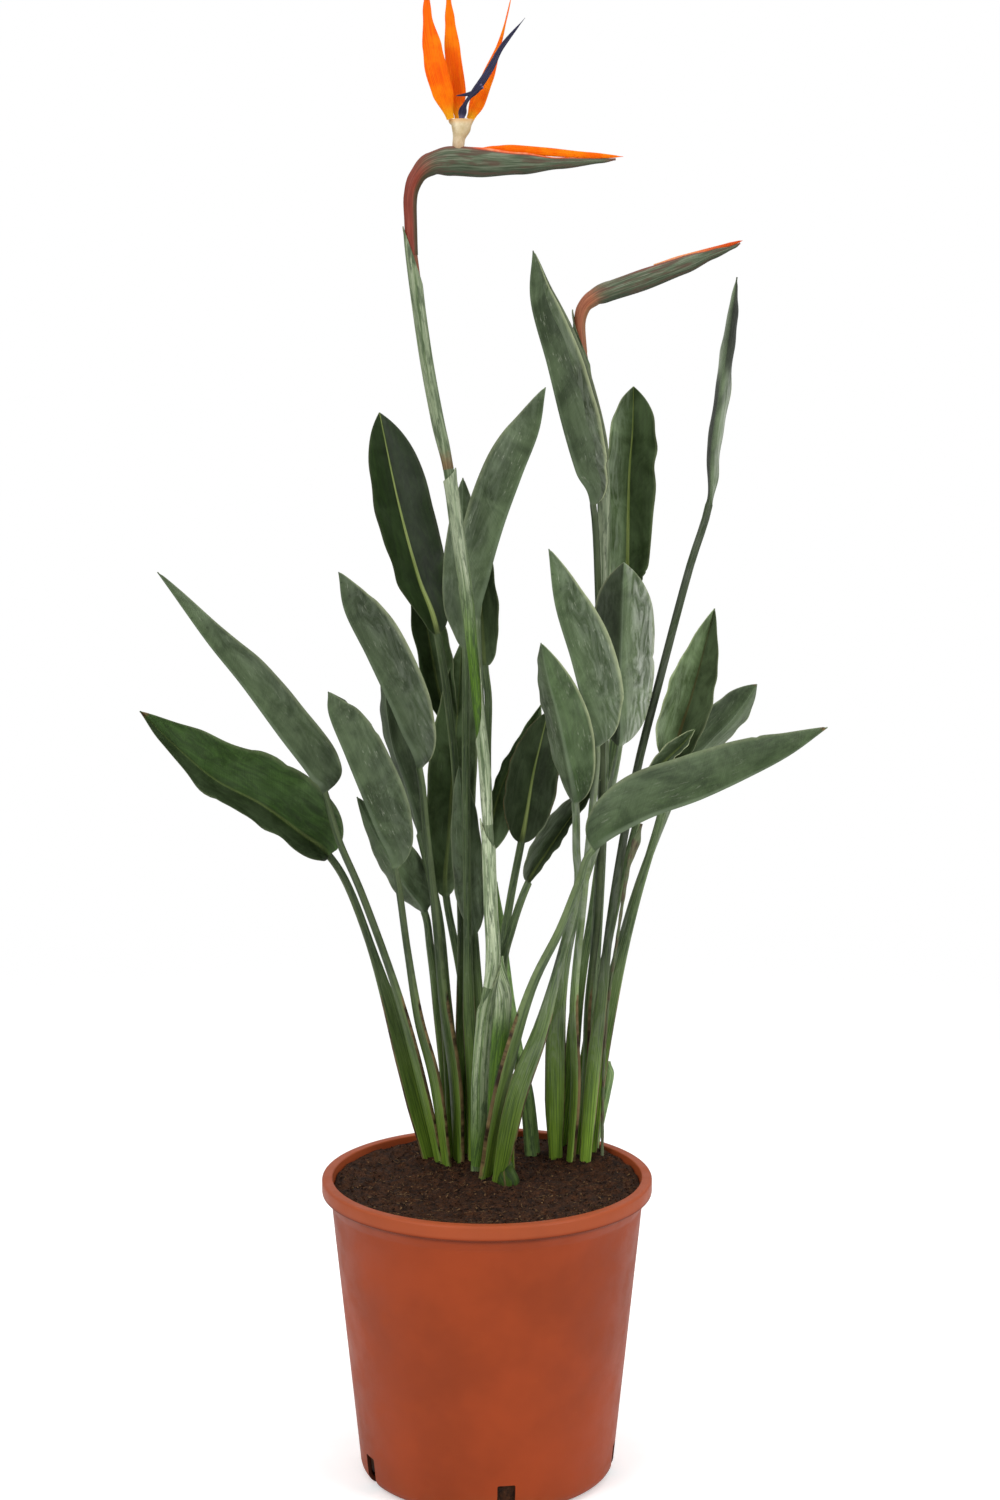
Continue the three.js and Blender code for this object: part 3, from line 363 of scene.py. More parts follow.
        (31, 32), (30, 48), 1, 0.42, tone=2.6, yellow=(0.12, 0.0), rib=0.8, bloom=(0.2, 0.0), fleck=0.1,
        tip=0.6, margin=0.3, halves=(1.25, 0.6), rib_red=0.8, stalk_tone=1.3, foot_tone=1.75,
        grow=(1.12, 1.1)),
    "leaf_right_far": Leaf(
        [[84, 88, 236], [86, 89, 262], [92, 97, 312], [104, 101, 382], [127, 103, 474], [155, 103, 552]],
        [[174, 101, 595], [191, 100, 615], [213, 101, 638], [233, 104, 666]],
        (26, -35), (22, -42), -1, 0.5, tone=1.6, yellow=0.15, rib=0.3, bloom=(0.1, 0.5), fleck=0.3, tip=0.7,
        rim=(0.3, 0.7), stalk_tone=1.3, stalk_wax_and_sheen=0.6, foot_tone=1.75, grow=(1.0, 1.1), taper=2.8),
    "leaf_right_rolled": Leaf(
        [[73, 92, 236], [84, 96, 312], [96, 94, 389], [113, 86, 480], [127, 73, 544]],
        [[138, 59, 586], [151, 49, 607], [165, 40, 623], [175, 34, 637]],
        (11, 10), (9, 60), 1, 0.5, tone=1.4, yellow=0.3, rib=0.5, bloom=(0.3, 0.5), fleck=0.2, tip=0.4,
        rim=0.9, stalk_tone=1.3, foot_tone=1.75, radius=3.2),
}

# Shoots and sheaths without a blade: places, half widths across, half depths and looks.
SHOOTS = {
    "shoot_front": {
        "path": [[19, 3, 236], [18, 3, 252], [16, 2, 266], [16, 2, 278]],
        "across": [7, 9.5, 6.5, 0.9], "deep": [5, 5.5, 3.5, 0.9],
        "pale": 0.0, "fresh": 1.0, "dry": 0.75, "tone": 0.45,
    },
    "shoot_behind": {
        "path": [[41, 88, 236], [35, 86, 300], [25, 72, 353], [17, 54, 414], [13, 48, 459], [8, 45, 504]],
        "across": [7, 6.5, 5.5, 4.5, 3.2, 0.9], "deep": [6, 6, 5, 4, 3, 0.9],
        "pale": 0.1, "fresh": 0.5, "dry": 0.4, "tone": 2.1,
    },
    "shoot_side": {
        "path": [[92, 76, 236], [94, 79, 262], [99, 84, 285], [103, 88, 305], [106, 90, 322], [106, 90, 334]],
        "across": [4.2, 4.2, 4.5, 5, 5.2, 2.2], "deep": [4.2, 4.2, 4.5, 4.5, 4.5, 2],
        "pale": 0.25, "fresh": 0.85, "dry": 0.4, "tone": 1.7,
    },
    "sheath_pale": {
        "path": [[5, 26, 236], [7, 14, 321], [11, 5, 376], [14, 0, 412], [13, -2, 450]],
        "across": [4, 6.5, 7.5, 7, 0.9], "deep": [3.5, 4, 4, 3.5, 0.9],
        "pale": 0.9, "pale_from": 0.5, "fresh": 0.9, "dry": 0.3, "tone": 1.1,
    },
}
DRIED_STALK = {
    "path": [[100, 62, 236], [101, 68, 330], [105, 70, 394], [113, 60, 459], [120, 50, 513], [126, 44, 536],
        [131, 40, 555]],
    "across": [1.5, 1.5, 1.5, 1.5, 2, 4, 1.2], "deep": [1.5, 1.5, 1.5, 1.4, 1.4, 1.2, 0.9],
}

# The flower stems: places, half thickness, where the fresh green joint is, how far below its top the
# stem turns red, and the places beyond it that a sleeve follows.
# Each sleeve: heights of its foot and its tip, thickness, how far its mouth slants, the side of its
# tip (-1 left, 1 right), and how pale and how fresh green it is at the foot and at the tip.
STEMS = {
    "stem_open_flower": {
        "path": [[-10, 36, 236], [-7, 30, 290], [-6, 26, 335], [-2, 20, 389], [5, 12, 443], [3, 6, 496],
            [-1, 0, 599], [-8, 0, 666], [-16, 0, 750], [-24, 0, 807], [-31, 0, 856], [-40, 0, 897],
            [-50, 0, 953], [-60, 0, 1029]],
        "radii": [5, 6, 6, 6, 5.4, 5, 4.2, 4.2, 4.6, 4.8, 4.4, 4.4, 4.4, 4.4],
        "green_at": 672.0, "red_below": 75.0, "beyond": [[-61, 0, 1055]], "beyond_radii": [5.2],
        "sleeves": [
            {"low": 258, "high": 446, "thick": 1.3, "mouth": 46, "tip": 1, "pale": (0.05, 0.6),
                "fresh": (1.0, 0.7), "dry": 0.25, "flare": 1.2, "tone": 1.2},
            {"low": 420, "high": 567, "thick": 1.0, "mouth": 16, "tip": -1, "pale": (0.8, 1.0),
                "fresh": (0.4, 0.1), "flare": 0.8, "tone": 1.4},
            {"low": 562, "high": 704, "thick": 0.9, "mouth": 76, "steep": 0.35, "tip": 1, "pale": (1.0, 0.8),
                "fresh": (0.1, 0.3), "tone": 1.15},
            {"low": 696, "high": 857, "thick": 1.1, "mouth": 12, "tip": 1, "pale": (0.0, 1.0),
                "fresh": (1.0, 0.0), "flare": 0.6, "lip": 0.3, "tone": 0.98},
            {"low": 857, "high": 1052, "thick": 1.0, "mouth": 62, "tip": -1, "pale": (0.4, 0.6),
                "fresh": (0.0, 0.25), "flare": 0.3, "foot": 0.72, "lip": 0.3},
        ],
    },
    "stem_closed_flower": {
        "path": [[77, 81, 236], [85, 84, 303], [89, 83, 349], [94, 78, 439], [98, 72, 528], [99, 67, 598],
            [98, 63, 658], [98, 58, 761], [98, 56, 828], [95, 54, 870], [86, 52, 911], [79, 50, 950]],
        "radii": [5, 5, 5, 4.8, 4.6, 4.4, 4.2, 4.4, 4.6, 4.6, 4.2, 4.2],
        "red_below": 60.0, "beyond": [[77, 50, 973], [80, 50, 990]], "beyond_radii": [4.8, 5.4],
        "sleeves": [
            {"low": 566, "high": 867, "thick": 0.9, "mouth": 34, "tip": 1, "pale": (0.4, 0.9),
                "fresh": (0.1, 0.1), "flare": 0.5, "tone": 0.85},
            {"low": 874, "high": 984, "thick": 0.8, "mouth": 60, "tip": -1, "pale": (0.3, 0.4),
                "fresh": (0.1, 0.2), "flare": 2.0},
        ],
    },
}

# The spathes: places, half heights, how far open the channel is, how soft the colours of lips and neck
# are, and how much of the lips' and the neck's colour shows along the spathe.
SPATHES = {
    "spathe_open_flower": {
        "path": [[-60, 0, 1030], [-61, 0, 1055], [-61, 0, 1076], [-56, 0, 1091], [-45, 0, 1101],
            [-29, 0, 1104], [-6, 0, 1103], [27, 0, 1102], [59, 0, 1102], [91, 0, 1104], [104, 0, 1105]],
        "heights": [4.8, 5.2, 5.6, 6.6, 9.2, 12.2, 12.3, 9.2, 4.8, 2.3, 0.9],
        "open": [0, 0, 0, 0, 0, 0.5, 1, 1, 1, 0.6, 0], "soft": 0.0,
        "lip": lambda t: 0.6 * eased(t, 0.25, 0.15) + 0.4 * eased(t, 0.54, 0.1),
        "neck": lambda t: 1 - eased(t, 0.16, 0.42),
    },
    "spathe_closed_flower": {
        "path": [[79, 50, 951], [77, 50, 973], [80, 50, 987], [88, 50, 995], [99, 50, 1000], [128, 50, 1010],
            [162, 50, 1022], [186, 50, 1031], [203, 50, 1037], [209, 50, 1040]],
        "heights": [4.4, 4.8, 5.6, 6.8, 8.4, 9.2, 7.6, 4.4, 2, 0.9],
        "open": [0, 0, 0, 0, 0, 0.3, 0.8, 0.8, 0.4, 0], "soft": 1.0,
        "lip": lambda t: 0.35 + 0.3 * eased(t, 0.4, 0.2) + 0.35 * eased(t, 0.7, 0.2),
        "neck": lambda t: 1 - eased(t, 0.16, 0.4),
    },
}

# The orange petals: places, half widths, half thickness, how far each folds along its keel, how much
# slimmer its upper half is and how dull its orange is.
PETALS = {
    "sepal_left": {
        "path": [[-28.5, -2, 1136.5], [-35, -4, 1158], [-40, -4, 1175], [-43, -3, 1192], [-47, 0, 1218],
            [-47, 2, 1243]],
        "widths": [3.2, 8.6, 9, 7.8, 3.6, 0.8], "deep": 1.3, "fold": 0.12,
    },
    "sepal_centre": {
        "path": [[-22, 4, 1136.5], [-24, 7, 1160], [-27, 7, 1190], [-29, 6, 1214], [-30, 5, 1230],
            [-30, 4, 1245]],
        "widths": [3.2, 7.6, 6.4, 4, 2, 0.8], "deep": 1.3, "fold": 0.22,
    },
    "sepal_right": {
        "path": [[-13, 1, 1136.5], [-7, 2, 1150], [1, 3, 1169], [11, 3, 1197], [16, 2, 1215], [20, 2, 1232]],
        "widths": [3.2, 6.2, 5, 2.4, 1.2, 0.8], "deep": 1.6, "fold": 0.3, "slim": 0.45,
    },
    "petal_in_open_spathe": {
        "path": [[-9, 0, 1112.4], [6, 0, 1113.4], [22, 0, 1113], [47, 0, 1111], [83, 0, 1108],
            [110, 0, 1107]],
        "widths": [0.8, 2.2, 3.4, 3.4, 2.6, 0.8], "deep": 2.2,
    },
    "petal_in_closed_spathe": {
        "path": [[138, 50, 1022], [160, 50, 1028], [180, 50, 1033], [198, 50, 1038], [211, 50, 1042]],
        "widths": [0.9, 2, 2.2, 1.8, 0.8], "deep": 1.8, "dull": 0.8,
    },
}
BLOOM_BASE = {
    "path": [[-23, 0, 1106], [-22, 0, 1120], [-20, 1, 1130], [-20, 2, 1136]],
    "widths": [4.5, 5, 8, 10.5], "deep": 6,
}
# The blue petal's shaft with its two lobes, and its barb: places, half widths and rows; foot is how
# much wider the lobes are near the shaft's foot.
ARROW_PARTS = [
    {"path": [[-20, -2, 1136.6], [-18, -8, 1145], [-14, -10, 1152], [-7, -10, 1160], [3, -9, 1175],
        [13, -8, 1193], [31, -6, 1215]],
        "widths": [1.4, 1.6, 2, 4, 3.8, 2.6, 0.7], "rows": 90, "foot": 1.9},
    {"path": [[-3, -10, 1162], [-12, -10, 1156], [-24, -10, 1154]],
        "widths": [3, 2.2, 0.7], "rows": 34, "foot": 0.0},
]

# The pieces that each piece is cut clear of, as a sheath is hollowed by the stalk that it clasps.
CLEAR_OF = {
    "leaf_left_front": ["leaf_left_high"],
    "leaf_left_shade": ["leaf_centre_low"],
    "leaf_centre_low": ["leaf_left_tall"],
    "leaf_centre_short": ["leaf_centre_narrow"],
    "leaf_right_front": ["shoot_front"],
    "leaf_right_wide": ["sheath_pale"],
    "leaf_right_tallest": ["stem_closed_flower"],
    "leaf_right_far": ["stem_closed_flower"],
    "leaf_right_rolled": ["leaf_right_back", "leaf_right_far"],
    "spathe_open_flower": ["petal_in_open_spathe", "bloom_base"],
    "spathe_closed_flower": ["petal_in_closed_spathe"],
}


def smooth(value):
    """An eased step from 0 to 1."""
    value = min(max(value, 0.0), 1.0)
    return value * value * (3 - 2 * value)


def eased(value, start, span):
    """An eased step from 0 at a start to 1 a span further on."""
    return smooth((value - start) / span)


def unit(vector):
    return vector / np.linalg.norm(vector)


def lerp(a, b, share):
    return a + (b - a) * share


def bell(distance, width):
    """1 at no distance, falling softly to 0 beyond the width."""
    return math.exp(-((distance / width) ** 2))


def pair(value):
    """A look's value for the left and the right half."""
    return value if isinstance(value, tuple) else (value, value)


def even(steps):
    """Even shares from 0 to 1."""
    return [k / steps for k in range(steps + 1)]


def by_name(columns):
    """Turns the values of each point into a list for each name."""
    return {name: [column[name] for column in columns] for name in columns[0]}


def angles(sides, start=0.5):
    """The angles of a ring's points; the first is at a share of a step."""
    return [2 * math.pi * (j + start) / sides for j in range(sides)]


def oval(across, deep, sides, fold=0.0):
    """Places round an oval; fold brings its two sides to the front, as a boat's sides rise."""
    places = [(math.cos(angle), math.sin(angle)) for angle in angles(sides)]
    return [(x * across, y * deep + fold * across * x * x) for x, y in places]


def sized(places, sizes):
    return [(x * size, y * size) for (x, y), size in zip(places, sizes)]


def ring_at(spot, places):
    """A ring of points round a spot of a route, from places to its side and to its front."""
    point, _, side, front = spot
    return [point + side * x + front * y for x, y in places]


def circle(radius, height, sides):
    """A level ring round the pot's middle."""
    return [np.array((radius * math.cos(angle), radius * math.sin(angle), height))
        for angle in angles(sides, 0.0)]


def turns(sides, radius):
    """The way round a ring, as the finishes read it."""
    return [j / sides * ONCE_ROUND * radius for j in range(sides)]


class Route:
    """A smooth line through the places, with values eased between them."""

    def __init__(self, places):
        places = np.array(places, dtype=float)
        self.spans = len(places) - 1
        self.padded = np.vstack([2 * places[0] - places[1], places, 2 * places[-1] - places[-2]])

    def point(self, t):
        t = min(max(t, 0.0), 1.0)
        k = min(int(t * self.spans), self.spans - 1)
        w = t * self.spans - k
        p0, p1, p2, p3 = self.padded[k:k + 4]
        m1, m2 = 0.5 * (p2 - p0), 0.5 * (p3 - p1)
        return (2 * w**3 - 3 * w**2 + 1) * p1 + (w**3 - 2 * w**2 + w) * m1 \
            + (-2 * w**3 + 3 * w**2) * p2 + (w**3 - w**2) * m2

    def value(self, values, t):
        k = min(int(t * self.spans), self.spans - 1)
        return lerp(values[k], values[k + 1], smooth(t * self.spans - k))

    def share_at_height(self, z):
        low, high = 0.0, 1.0
        for _ in range(24):
            middle = (low + high) / 2
            if self.point(middle)[2] < z:
                low = middle
            else:
                high = middle
        return low

    def frame(self, t):
        """The point, the tangent, and the directions to the right and to the front."""
        tangent = unit(self.point(t + 1e-3) - self.point(t - 1e-3))
        side = unit(np.cross(tangent, FRONT))
        return self.point(t), tangent, side, unit(np.cross(side, tangent))

    def walk(self, shares):
        """Each share with the length run up to it and its frame."""
        run, before = 0.0, self.point(shares[0])
        for t in shares:
            spot = self.frame(t)
            run += float(np.linalg.norm(spot[0] - before))
            before = spot[0]
            yield t, run, spot


class Skin:
    """Points, faces and named values per point that grow part by part into one mesh."""

    def __init__(self, rows=()):
        self.points, self.faces, self.values = [], [], {}
        if rows:
            self.add_rings(rows)

    def add(self, points, faces, **values):
        """Adds a part; a value that a part leaves out is 0 there."""
        start = len(self.points)
        self.points.extend(points)
        self.faces.extend(tuple(start + i for i in face) for face in faces)
        for name in sorted(set(self.values) | set(values)):
            held = self.values.setdefault(name, [])
            held.extend([0.0] * (start - len(held)))
            held.extend(values.get(name, [0.0] * len(points)))

    def add_rings(self, rows, capped=True, joined=False):
        """Adds the skin over rows of a ring and its values; a plain number holds all round its ring."""
        count = len(rows[0][0])
        points = [point for ring, _ in rows for point in ring]
        faces = []
        for k in range(len(rows) if joined else len(rows) - 1):
            here, there = k * count, (k + 1) % len(rows) * count
            for j in range(count):
                turn = (j + 1) % count
                faces.append((here + j, here + turn, there + turn, there + j))
        if capped:
            faces += [tuple(range(count))[::-1], tuple(range(len(points) - count, len(points)))]
        flat = {name: [] for name in rows[0][1]}
        for _, values in rows:
            for name, value in values.items():
                flat[name] += value if isinstance(value, list) else [value] * count
        self.add(points, faces, **flat)

    def build(self, name, finishes, sharp_from=SOFT_EDGE):
        mesh = bpy.data.meshes.new(name)
        mesh.from_pydata([Vector(point) * MM for point in self.points], [], self.faces)
        for label, values in self.values.items():
            layer = mesh.attributes.new(label, "FLOAT", "POINT")
            layer.data.foreach_set("value", [float(value) for value in values])
        made = bmesh.new()
        made.from_mesh(mesh)
        bmesh.ops.recalc_face_normals(made, faces=made.faces)
        made.to_mesh(mesh)
        made.free()
        soften(mesh, sharp_from)
        for finish in finishes:
            mesh.materials.append(finish)
        return add_object(name, mesh)


def add_object(name, data):
    made = bpy.data.objects.new(name, data)
    bpy.context.scene.collection.objects.link(made)
    return made


def soften(mesh, sharp_from):
    """Shades a mesh smooth, but for the edges that turn by more than an angle in degrees."""
    mesh.shade_smooth()
    mesh.set_sharp_from_angle(angle=math.radians(sharp_from))


def cut_away(piece, tools, sharp_from=SOFT_EDGE):
    """Cuts the tools out of a piece; the cut's points take over the values of the nearest old points."""
    old = piece.data
    nearest = KDTree(len(old.vertices))
    for vertex in old.vertices:
        nearest.insert(vertex.co, vertex.index)
    nearest.balance()
    held = {layer.name: [item.value for item in layer.data] for layer in old.attributes
        if layer.domain == "POINT" and layer.data_type == "FLOAT"}
    for tool in tools:
        cut = piece.modifiers.new(tool.name, "BOOLEAN")
        cut.operation = "DIFFERENCE"
        cut.solver = "EXACT"
        cut.object = tool
    graph = bpy.context.evaluated_depsgraph_get()
    made = bpy.data.meshes.new_from_object(piece.evaluated_get(graph))
    piece.modifiers.clear()
    piece.data = made
    for tool in tools:
        bpy.data.objects.remove(tool)
    sources = [nearest.find(vertex.co)[1] for vertex in made.vertices]
    for name, values in held.items():
        if name in made.attributes:
            made.attributes.remove(made.attributes[name])
        made.attributes.new(name, "FLOAT", "POINT").data.foreach_set("value", [values[k] for k in sources])
    soften(made, sharp_from)


def dress(piece, node):
    """Puts a piece, in its own place, on the plant's one body and hides its CAD node; the node's material
    slot is only looked up.
    """
    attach(piece, BODY)
    slot_of(node)
    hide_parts(node)


def slot_of(node):
    """The record's material slot of a CAD node."""
    for part in frame["record"]["subparts"]:
        if part["node"] == node:
            return part["material_slot"]
    raise LookupError(f"no subpart for {node}")


def section_places():
    """Places round a leaf's section: share across, face (1 above, -1 below, 0 margin), angle on the stalk."""
    across = [-share for share in reversed(HALF_SHARES)] + [0.0] + HALF_SHARES
    above = [(share, 1, math.radians(90 - EDGE_ANGLE * share)) for share in across]
    below = [(share, -1, math.radians(EDGE_ANGLE * share - 90)) for share in reversed(across)]
    return [*above, (1.0, 0, 0.0), *below, (-1.0, 0, math.pi)]


SECTION = section_places()


def blade_width(s, widest, taper):
    """The blade's width along its length: round at the base, then a long taper to the tip."""
    if s < widest:
        return math.sqrt(max(0.0, 1 - (1 - s / widest) ** 2))
    return 1 - ((s - widest) / (1 - widest)) ** taper


def leaf_ring(leaf, spot, row):
    """One ring and how flat it is, from the stalk's grooved oval (0) to the blade's thin halves (1)."""
    point, tangent, side, front = spot
    halves = []
    for sign, (width, lift), grown in zip(HALVES, (leaf.left, leaf.right), row.grown):
        turn = math.radians(lift)
        out = side * (sign * math.cos(turn)) + front * math.sin(turn)
        halves.append((out, np.cross(out, tangent) * (sign * leaf.face), width * grown))
    up = unit(halves[0][1] + halves[1][1])
    across = np.cross(tangent, up) * leaf.face
    widest = max(leaf.left[0], leaf.right[0])
    spread = smooth(row.width * widest / (RIB_BLENDS_AT * row.rib * leaf.blend))
    point = point + side * row.shift
    points = []
    for share, face, angle in SECTION:
        half = int(share >= 0)
        out, rise, width = halves[half]
        size = abs(share)
        at_edge = eased(size, 0.85, 0.15)
        reach = width * row.width * size + TIP_HALF_WIDTH * at_edge
        cup = math.radians(CUP_DEGREES) * size
        near_rib = bell(reach, 0.8 * row.rib)
        thin = lerp(BLADE_HALF_THICKNESS, EDGE_HALF_THICKNESS, at_edge)
        thick = lerp(thin, RIB_RISE * row.rib if face > 0 else row.rib, near_rib)
        lift = reach * math.sin(cup) - HALVES[half] * row.wave * size**2 + row.ruffle[half] * size**3
        normal = unit(lerp(rise, up, near_rib))
        flat = point + out * (reach * math.cos(cup)) + rise * lift + normal * (face * thick)
        if face == 0:
            flat = flat + out * (EDGE_HALF_THICKNESS * 0.6)
        groove = row.groove * (1 - share * share) ** 1.5 if face > 0 else 0.0
        round_stalk = point + across * (math.cos(angle) * row.across) \
            + up * (math.sin(angle) * row.rib - groove * row.rib)
        points.append(lerp(round_stalk, flat, spread))
    return points, spread


def leaf_values(leaf, row, spread):
    """What the leaf's finish reads at each point of one ring."""
    foot = 1 - smooth(row.height / GREEN_FOOT)
    soiled = SOILING * (1 - smooth(row.height / SOILED_FOOT))
    stalk_tone = lerp(leaf.stalk_tone, leaf.foot_tone, foot)
    turned = eased(row.s - leaf.twist, -0.06, 0.12)
    # Either half's brightness is painted light and shade.
    half_shading, yellows, rims = pair(leaf.halves), pair(leaf.yellow), pair(leaf.rim)
    tip = leaf.tip * eased(row.s, 0.93, 0.07)
    columns = []
    for share, face, _ in SECTION:
        size, half = abs(share), int(share >= 0)
        reach = (leaf.left, leaf.right)[half][0] * row.width * size
        edge = eased(size, 0.9, 0.1)
        over = eased(share, -0.12, 0.24)
        over = lerp(over, 1 - over, turned)
        wax_and_sheen = leaf.bloom[half] * smooth(size * 1.6) * (1 - 0.5 * row.s)
        papery = eased(size, 0.78, 0.2) * smooth(row.clasp * 2.4 - 0.4) * (0.95 if face >= 0 else 0.7)
        columns.append({
            "run": row.run,
            "reach": math.copysign(max(reach, row.across * size), share),
            "size": size,
            "upper": (face + 1) / 2,
            "blade": spread,
            "from_rib": reach / row.rib,
            "bloom": lerp(leaf.stalk_wax_and_sheen * (1 - foot), wax_and_sheen, spread),
            "fleck": leaf.fleck * spread,
            "dry": max(tip * spread, leaf.margin * edge * spread, papery * (1 - spread), soiled),
            "fresh": max(foot * (1 - spread), lerp(yellows[0], yellows[1], over) * 0.45 * spread),
            "tone": lerp(stalk_tone, leaf.tone * lerp(half_shading[0], half_shading[1], over), spread),
            "ribpale": leaf.rib * (1 - 0.6 * row.s) * lerp(0.2, 1, smooth(row.s / 0.09)),
            "ribred": leaf.rib_red,
            "rim": rims[half] * edge * spread,
        })
    return by_name(columns)


def leaf_skin(node):
    """A leaf: its stalk with a clasping, grooved foot, which flattens into the blade."""
    leaf = LEAVES[node]
    chance = random.Random(node)
    phases = [chance.uniform(0, ONCE_ROUND) for _ in HALVES]
    beats = [chance.uniform(5, 8) for _ in HALVES]
    route = Route(leaf.stalk + leaf.blade)
    base = len(leaf.stalk) / route.spans
    shares = [(k / STALK_ROWS * base, 0.0, k / STALK_ROWS) for k in range(STALK_ROWS)]
    for share in even(BLADE_ROWS):
        s = lerp(share, 0.5 - 0.5 * math.cos(math.pi * share), 0.6)
        shares.append((base + s * (1 - base), s, 1.0))
    rows = []
    for (_, s, up_stalk), (_, run, spot) in zip(shares, route.walk([share[0] for share in shares])):
        height = spot[0][2] - SOIL_LEVEL
        arch = math.sin(math.pi * s)
        if up_stalk < 1.0:
            opening = FOOT_SHARE + (1 - FOOT_SHARE) * smooth(height / FOOT_RISE)
            clasp = opening * (1 - eased(height, SHEATH_FULL_UP_TO, SHEATH_FADE))
            rib = lerp(leaf.radius, STALK_TOP_RADIUS, up_stalk)
            width = wave = 0.0
        else:
            clasp = 0.0
            rib = lerp(STALK_TOP_RADIUS, TIP_RIB, math.sqrt(s))
            width = blade_width(s, leaf.widest, leaf.taper * TIP_FULLNESS)
            wave = leaf.wave * (math.sin(2 * math.pi * leaf.waves * s) * arch)
        grown = list(leaf.grow)
        for side, place, depth, half_length in leaf.nicks if width > 0 else ():
            half = HALVES.index(side)
            grown[half] -= bell(s - place, half_length) * depth / (leaf.left, leaf.right)[half][0]
        row = SimpleNamespace(
            s=s, run=run, height=height, clasp=clasp, rib=rib, width=width, wave=wave, grown=grown,
            across=rib + (leaf.sheath - rib) * clasp,
            ruffle=[RUFFLE * math.sin(beat * ONCE_ROUND * s + phase) * arch
                for beat, phase in zip(beats, phases)],
            groove=lerp(STALK_GROOVE, SHEATH_GROOVE, clasp),
            shift=leaf.shift * smooth(s / 0.2) * (1 - eased(s, 0.3, 0.7)))
        ring, spread = leaf_ring(leaf, spot, row)
        rows.append((ring, leaf_values(leaf, row, spread)))
    return Skin(rows)


def stem_skin(node, sleeved=True):
    """A flower stem with its sleeves, each a thin leafless sheath with a slanting, pointed mouth."""
    stem = STEMS[node]
    route = Route(stem["path"])
    red_from = stem["path"][-1][2] - stem["red_below"]
    rows = []
    for t, run, spot in route.walk(even(STEM_ROWS)):
        radius = route.value(stem["radii"], t)
        height = spot[0][2]
        green = min(1.0, 1.7 * bell(height - stem["green_at"], JOINT_LENGTH)) if "green_at" in stem else 0.0
        rows.append((ring_at(spot, oval(radius, radius, STEM_SIDES)), {
            "run": run, "turn": turns(STEM_SIDES, radius), "tone": 1.0,
            "pale": STEM_PALENESS * (1 - green),
            "dry": SOILING * (1 - eased(height, SOIL_LEVEL, STEM_SOILED_FOOT)),
            "fresh": max(green, 1 - eased(height, SOIL_LEVEL, STEM_GREEN_FOOT)),
            "red": eased(height, red_from, STEM_REDDENS_OVER),
        }))
    skin = Skin(rows)
    sleeve_route = Route(stem["path"] + stem["beyond"])
    for sleeve in stem["sleeves"] if sleeved else ():
        add_sleeve(skin, sleeve_route, stem["radii"] + stem["beyond_radii"], sleeve)
    return skin


def add_sleeve(skin, route, radii, sleeve):
    """The sleeve's outside runs up to its mouth, turns over the lip and comes back just inside."""
    start, end = route.share_at_height(sleeve["low"]), route.share_at_height(sleeve["high"])
    length = sleeve["high"] - sleeve["low"]
    shares = [(share, True) for share in even(SLEEVE_ROWS)]
    shares += [(1 - share * 0.25, False) for share in even(MOUTH_ROWS)]
    shares += [(0.75 - share * 0.75, False) for share in even(INNER_ROWS)[1:]]
    rows = []
    for share, outside in shares:
        ring, columns = [], []
        for angle in angles(SLEEVE_SIDES, 0.0):
            away = 0.5 - 0.5 * (math.cos(angle) * sleeve["tip"])
            drop = sleeve["mouth"] * away ** sleeve.get("steep", 0.65) / length
            spot_share = lerp(start, end, share * (1 - drop))
            point, _, side, front = route.frame(spot_share)
            swell = lerp(0.05, sleeve["thick"], smooth(share * 4))
            lip = (SLEEVE_LIP + sleeve.get("flare", 0.0) * (1 - away) ** 3) * eased(share, 0.9, 0.1)
            inside = lerp(-0.3, 0.12, eased(share, 0.5, 0.25))
            radius = route.value(radii, spot_share) + (swell + lip if outside else inside + lip * 0.8)
            ring.append(point + side * (math.cos(angle) * radius) + front * (math.sin(angle) * radius))
            columns.append({
                "run": point[2], "turn": angle * radius, "red": 0.0, "tone": sleeve.get("tone", 1.0),
                "pale": lerp(*sleeve["pale"], smooth(share * (1 - drop) * 2)),
                "dry": max(sleeve.get("lip", 0.5) * eased(share, 0.98, 0.02),
                    sleeve.get("dry", 0.0) * eased(share, 0.8, 0.2),
                    sleeve.get("foot", 0.0) * (1 - smooth(share / 0.32))),
                "fresh": lerp(*sleeve["fresh"], smooth(share * (1 - drop) * 1.6)),
            })
        rows.append((ring, by_name(columns)))
    skin.add_rings(rows, capped=False, joined=True)


def shoot_skin(node):
    """A shoot: a pointed sheath whose two margins meet in a seam down its front."""
    shoot = SHOOTS[node]
    route = Route(shoot["path"])
    off_seam = [angle - SEAM_ANGLE for angle in angles(SHOOT_SIDES)]
    seams = [bell(math.atan2(math.sin(angle), math.cos(angle)), SEAM_WIDTH) for angle in off_seam]
    rows = []
    for t, run, spot in route.walk(even(SHOOT_ROWS)):
        across, deep = route.value(shoot["across"], t), route.value(shoot["deep"], t)
        sizes = [1 - 0.12 * seam * smooth(across / 3) for seam in seams]
        near_tip = eased(t, 0.8, 0.2)
        rows.append((ring_at(spot, sized(oval(across, deep, SHOOT_SIDES), sizes)), {
            "run": run, "turn": turns(SHOOT_SIDES, across), "tone": shoot["tone"], "fresh": shoot["fresh"],
            "pale": shoot["pale"] * eased(t, shoot.get("pale_from", -1.0), 0.3),
            "dry": [shoot["dry"] * max(0.9 * seam, near_tip) for seam in seams],
            "red": 0.0,
        }))
    return Skin(rows)


